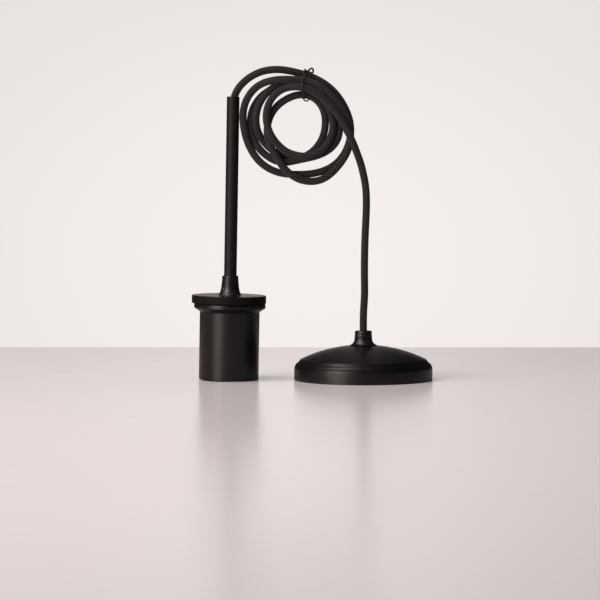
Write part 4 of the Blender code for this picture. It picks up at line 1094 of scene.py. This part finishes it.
@dataclass
class TieString:
    """Thin string round the coil: a taut turn, a knot, a loop and a slack arc.

    Points are x from the canopy's axis, a depth and a height, in millimetres.
    Those of the short end, the loop and the hitch are counted from the knot.
    """

    radius: float = 0.56 * MM
    loop_radius: float = 0.8 * MM
    columns: int = 10
    spacing: float = 0.6 * MM
    side: Point = (0.31, 0.53, 0.17)
    plane_x: float = -50.6
    plane_reach: float = 0.5
    rim_points: int = 24
    middle_z: float = 211.56
    looks: int = 96
    drift_at: tuple[float, ...] = (0.0, 35.0, 60.0, 90.0, 140.0, 180.0, 270.0, 360.0)
    drift_by: tuple[float, ...] = (3.4, 1.4, 0.0, -0.5, 0.2, 0.8, 3.0, 3.4)
    sag: float = 0.26
    knot: Point = (-47.0, 0.3, 255.6)
    short_end: tuple[Point, ...] = (
        (0.2, 0.0, -0.3), (-0.5, -0.4, 1.1), (-1.3, -0.5, 2.0), (-2.1, -0.4, 2.9),
    )
    loop: tuple[Point, ...] = (
        (0.1, 0.0, 0.2), (1.3, -0.4, 1.3), (2.9, -0.7, 2.8), (4.2, -0.8, 3.2), (5.1, -0.7, 2.2),
        (5.2, -0.7, 0.7), (4.6, -0.8, -0.4), (2.7, -0.9, -0.3), (0.6, -0.7, -0.1),
    )
    hitch: tuple[Point, ...] = (
        (-2.6, -0.2, -0.2), (-1.3, -1.4, 0.6), (0.7, -1.3, 0.9), (2.0, 0.2, 0.1), (0.4, 1.3, -0.4),
        (-1.5, 0.4, 0.5), (-1.6, -1.5, -0.5), (-0.2, -2.2, -0.8), (1.3, -2.3, -1.5),
        (2.4, -2.6, -2.9), (2.6, -2.8, -4.2),
    )
    arc: tuple[Point, ...] = (
        (-49.7, -4.6, 234.2), (-49.2, -4.0, 232.6), (-47.6, -1.9, 231.7), (-45.8, 0.6, 232.3),
        (-44.9, 2.6, 234.3),
    )

    def wrap(self, cord: FreeCord) -> np.ndarray:
        """Line of the taut turn, from its top down the front and up the back.

        It is the hull of the places where the cord's upper turns cross the
        tie's plane, set off by the cord's and the string's radius. Along the
        coil it drifts by an amount that depends on the look angle, and there it
        comes down with the slope of the turns.

        Args:
            cord: The laid cord.

        Returns:
            Points of the closed line, the first one also at its end.
        """
        x, y, z = (cord.path.T - np.array([[CANOPY_X], [0.0], [0.0]])) / MM
        near = (np.abs(x - self.plane_x) < self.plane_reach) & (z > self.middle_z)
        angles = np.linspace(0.0, math.tau, self.rim_points + 1)[:-1]
        reach = (cord.radius + self.radius) / MM
        rim = reach * np.stack([np.sin(angles), np.cos(angles)], axis=1)
        cloud = (np.stack([-y[near], z[near]], axis=1)[:, None] + rim[None]).reshape(-1, 2)
        looks = np.linspace(0.0, math.tau, self.looks + 1)
        faces = np.stack([np.sin(looks), np.cos(looks)], axis=1)
        outline = cloud[np.argmax(cloud @ faces.T, axis=0)]
        drift = np.interp(np.degrees(looks), self.drift_at, self.drift_by)
        height = outline[:, 1] - self.sag * np.maximum(drift, 0.0) * np.maximum(faces[:, 1], 0.0)
        line = np.stack([self.plane_x + drift, -outline[:, 0], height], axis=1)
        moved = np.linalg.norm(np.diff(line, axis=0), axis=1) > self.radius / MM
        return line[np.concatenate([[True], moved])]

    def build(self, finishes: Finishes, cord: FreeCord) -> bpy.types.Object:
        """Builds the string and gives the piece.

        Args:
            finishes: The fitting's finishes.
            cord: The laid cord that the string goes round.

        Returns:
            The string's object.
        """
        turn = self.wrap(cord)
        knot = np.array([self.knot[0], turn[0, 1] + self.knot[1], self.knot[2]])
        lines = (turn, np.array(self.arc), knot + self.hitch, knot + self.short_end, knot + self.loop)
        shift = np.array([CANOPY_X, 0.0, 0.0])
        paths = [spline(points * MM + shift, self.spacing) for points in lines]
        strands = [(path, self.radius) for path in paths[:-1]] + [(paths[-1], self.loop_radius)]
        piece = tube_body("cord_tie_string", strands, self.columns, self.side)
        settle_piece(piece, finishes.string.material("tie_string_black"), Slot.TIE, "cord_tie")
        return piece


@dataclass
class InnerParts:
    """Solids that keep their CAD shape and get a finish here."""

    brass: tuple[str, ...] = (
        "inlet_bush", "screw_shell", "centre_contact", "live_terminal", "neutral_terminal",
        "terminal_barrel_1", "terminal_barrel_2", "terminal_barrel_3",
    )
    zinc: tuple[str, ...] = (
        "live_terminal_screw", "neutral_terminal_screw", "cup_nut", "neck_nut", "neck_washer",
        "ceiling_strap", "earth_lug", "earth_screw", "clamp_screw_left", "clamp_screw_right",
        *(f"barrel_screw_{pole}_{end}" for pole in (1, 2, 3) for end in ("front", "back")),
    )
    nylon: tuple[str, ...] = ("cord_clamp_front", "cord_clamp_back", "terminal_housing")
    resin: tuple[str, ...] = ("socket_cap", "socket_skirt")

    def dress_all(self, finishes: Finishes, nodes: dict[str, bpy.types.Object]) -> None:
        """Gives each remaining solid its finish.

        Args:
            finishes: The fitting's finishes.
            nodes: The frame's objects by name.
        """
        groups = [
            (finishes.brass.material("brass_machined"), self.brass),
            (finishes.zinc.material("zinc_plated"), self.zinc),
            (finishes.nylon.material("nylon_natural"), self.nylon),
            (finishes.resin.material("resin_black"), self.resin),
            (finishes.ceramic.material("ceramic_glazed"), ("contact_block",)),
            (finishes.braid.material("stem_cord_braid", (HOLDER_X, 0.0)), ("cord_in_stem",)),
            (finishes.braid.material("neck_cord_braid", (CANOPY_X, 0.0)), ("cord_in_neck",)),
        ]
        cores = {"live": finishes.brown, "neutral": finishes.blue, "earth": finishes.green}
        for core, finish in cores.items():
            groups.append((finish.material(f"core_{core}"), (f"holder_core_{core}", f"canopy_core_{core}")))
        for material, names in groups:
            for name in names:
                dress(nodes[name], material)
        LOG.info("dressed %d solids", sum(len(names) for _, names in groups))


# Studio


@dataclass(frozen=True)
class SoftLamp:
    """Soft rectangular lamp that faces a point, with its power in watts."""

    name: str
    place: Point
    target: Point
    size: Span
    power: float
    warm: Colour = (1.0, 0.86, 0.82)

    def build(self) -> None:
        """Makes the lamp."""
        data = bpy.data.lights.new(self.name, "AREA")
        data.shape = "RECTANGLE"
        data.size, data.size_y = self.size
        data.energy = self.power
        data.color = self.warm
        lamp = add_object(self.name, data)
        lamp.location = self.place
        x, y, z = np.array(self.place) - np.array(self.target)
        lamp.rotation_euler = (math.atan2(math.hypot(x, y), z), 0.0, math.atan2(x, -y))


@dataclass
class Studio:
    """Table, light and camera.

    The spans of the backdrop are directions, as parts of a unit vector: x to the
    side and z upwards.
    """

    camera_x: float = -10.2 * MM
    distance: float = 3.0
    eye: float = 0.253
    pitch: float = math.radians(3.5595)
    focal_px: float = 3612.0
    frame_px: float = 600.0
    sensor: float = 36.0
    table_low: Point = (-4.0, -6.0, -0.04)
    table_high: Point = (4.0, 0.357, 0.0)
    wall_middle: Colour = (0.918, 0.872, 0.851)
    wall_side: Colour = (0.797, 0.748, 0.738)
    wall_height: float = -0.05
    wall_squash: float = 0.7
    wall_reach: Span = (0.0, 0.11)
    fill: Colour = (0.335, 0.324, 0.322)
    mirror: Colour = (1.0, 0.95, 0.93)
    paper_wide: Span = (0.09, 0.20)
    paper_tall: Span = (0.07, 0.32)
    paper_above: float = 0.25
    paper_core: Span = (0.0, 0.09)
    paper_light: Span = (1.16, 0.80)
    room: Span = (-0.9, 0.3)
    room_light: Span = (0.03, 0.025)
    lamps: tuple[SoftLamp, ...] = (
        SoftLamp("soft_left", (-1.30, -1.316, 0.57), (-0.01, 0.0, 0.08), (1.05, 1.08), 31.5),
        SoftLamp("soft_above", (-0.56, -0.15, 1.37), (0.02, 0.0, 0.05), (0.40, 0.66), 10.2),
    )

    def table(self) -> None:
        """Makes the table, a thin slab with a far edge behind the fitting."""
        low, high = np.array(self.table_low), np.array(self.table_high)
        pick = np.array([[i, j, k] for i in (0, 1) for j in (0, 1) for k in (0, 1)])
        faces = [[0, 1, 3, 2], [4, 6, 7, 5], [0, 4, 5, 1], [2, 3, 7, 6], [0, 2, 6, 4], [1, 5, 7, 3]]
        table = build_mesh("table_top", low + pick * (high - low), faces, 30.0)
        dress(table, TableTop().material("table_pale"))

    def world(self) -> None:
        """Lights the scene evenly and shows a pale wall to the camera.

        Reflections see that wall behind the fitting, over the width and height
        of a paper backdrop, and elsewhere a dark room that is lighter on the
        left. The light on the fitting itself stays the plain fill.
        """
        world = bpy.data.worlds.new("pale_wall")
        bpy.context.scene.world = world
        world.use_nodes = True
        bench = NodeBench(world.node_tree)
        bench.tree.nodes.clear()
        x, y, z = bench.split(bench.node("ShaderNodeTexCoord").outputs["Generated"])
        aside = bench.math("MULTIPLY", x, self.wall_squash)
        above = bench.math("SUBTRACT", z, self.wall_height)
        square = bench.math("MULTIPLY_ADD", aside, aside, bench.math("MULTIPLY", above, above))
        share = bench.ease(bench.math("SQRT", square), self.wall_reach, 0.0, 1.0)
        wall = bench.mix(Mix.COLOUR, share, self.wall_middle, self.wall_side)
        off = bench.math("ABSOLUTE", x)
        tall = bench.math("MAXIMUM", bench.ease(z, self.paper_tall, 1.0, 0.0), self.paper_above)
        size = bench.math("MULTIPLY", bench.ease(off, self.paper_wide, 1.0, 0.0), tall)
        paper = bench.math("MULTIPLY", size, bench.math("GREATER_THAN", y, 0.0))
        lit = bench.math("MULTIPLY", paper, bench.ease(off, self.paper_core, *self.paper_light))
        mirrored = bench.math("MAXIMUM", lit, bench.ease(x, self.room, *self.room_light))
        ray = bench.node("ShaderNodeLightPath").outputs
        shown = bench.math("MAXIMUM", ray["Is Camera Ray"], ray["Is Transmission Ray"])
        light = bench.glow(self.fill, 1.0)
        for share, other in (
            (ray["Is Glossy Ray"], bench.glow(self.mirror, mirrored)),
            (shown, bench.glow(wall, 1.0)),
        ):
            mix = bench.node("ShaderNodeMixShader")
            for socket, value in zip(mix.inputs, (share, light, other)):
                bench.feed(socket, value)
            light = mix.outputs[0]
        bench.feed(bench.node("ShaderNodeOutputWorld").inputs["Surface"], light)

    def camera(self) -> None:
        """Makes the camera, on a level with the fitting and looking a little down."""
        data = bpy.data.cameras.new("photo_camera")
        data.sensor_width = self.sensor
        data.lens = self.focal_px / self.frame_px * self.sensor
        data.clip_start, data.clip_end = 0.1, 50.0
        camera = add_object("photo_camera", data)
        camera.location = (self.camera_x, -self.distance, self.eye)
        camera.rotation_euler = (math.pi / 2 - self.pitch, 0.0, 0.0)
        bpy.context.scene.camera = camera

    def build(self) -> None:
        """Builds the whole studio."""
        self.camera()
        self.table()
        self.world()
        for lamp in self.lamps:
            lamp.build()
        bpy.context.scene.view_settings.view_transform = "Standard"


def main() -> None:
    """Builds the studio, the cord and then the rest."""
    logging.basicConfig(level=logging.INFO, format="%(name)s %(message)s")
    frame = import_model()
    finishes = Finishes()
    Studio().build()
    holder, canopy, cord = LampHolder(), CeilingCanopy(), FreeCord()
    cord.lay(canopy.mouth())
    LOG.info("cord length %.3f m", cord.length())
    tie = TieString().build(finishes, cord)
    cord.build(finishes, holder.mouth(), [tie])
    holder.build(finishes)
    canopy.build(finishes)
    InnerParts().dress_all(finishes, frame["nodes"])


if __name__ == "__main__":
    main()
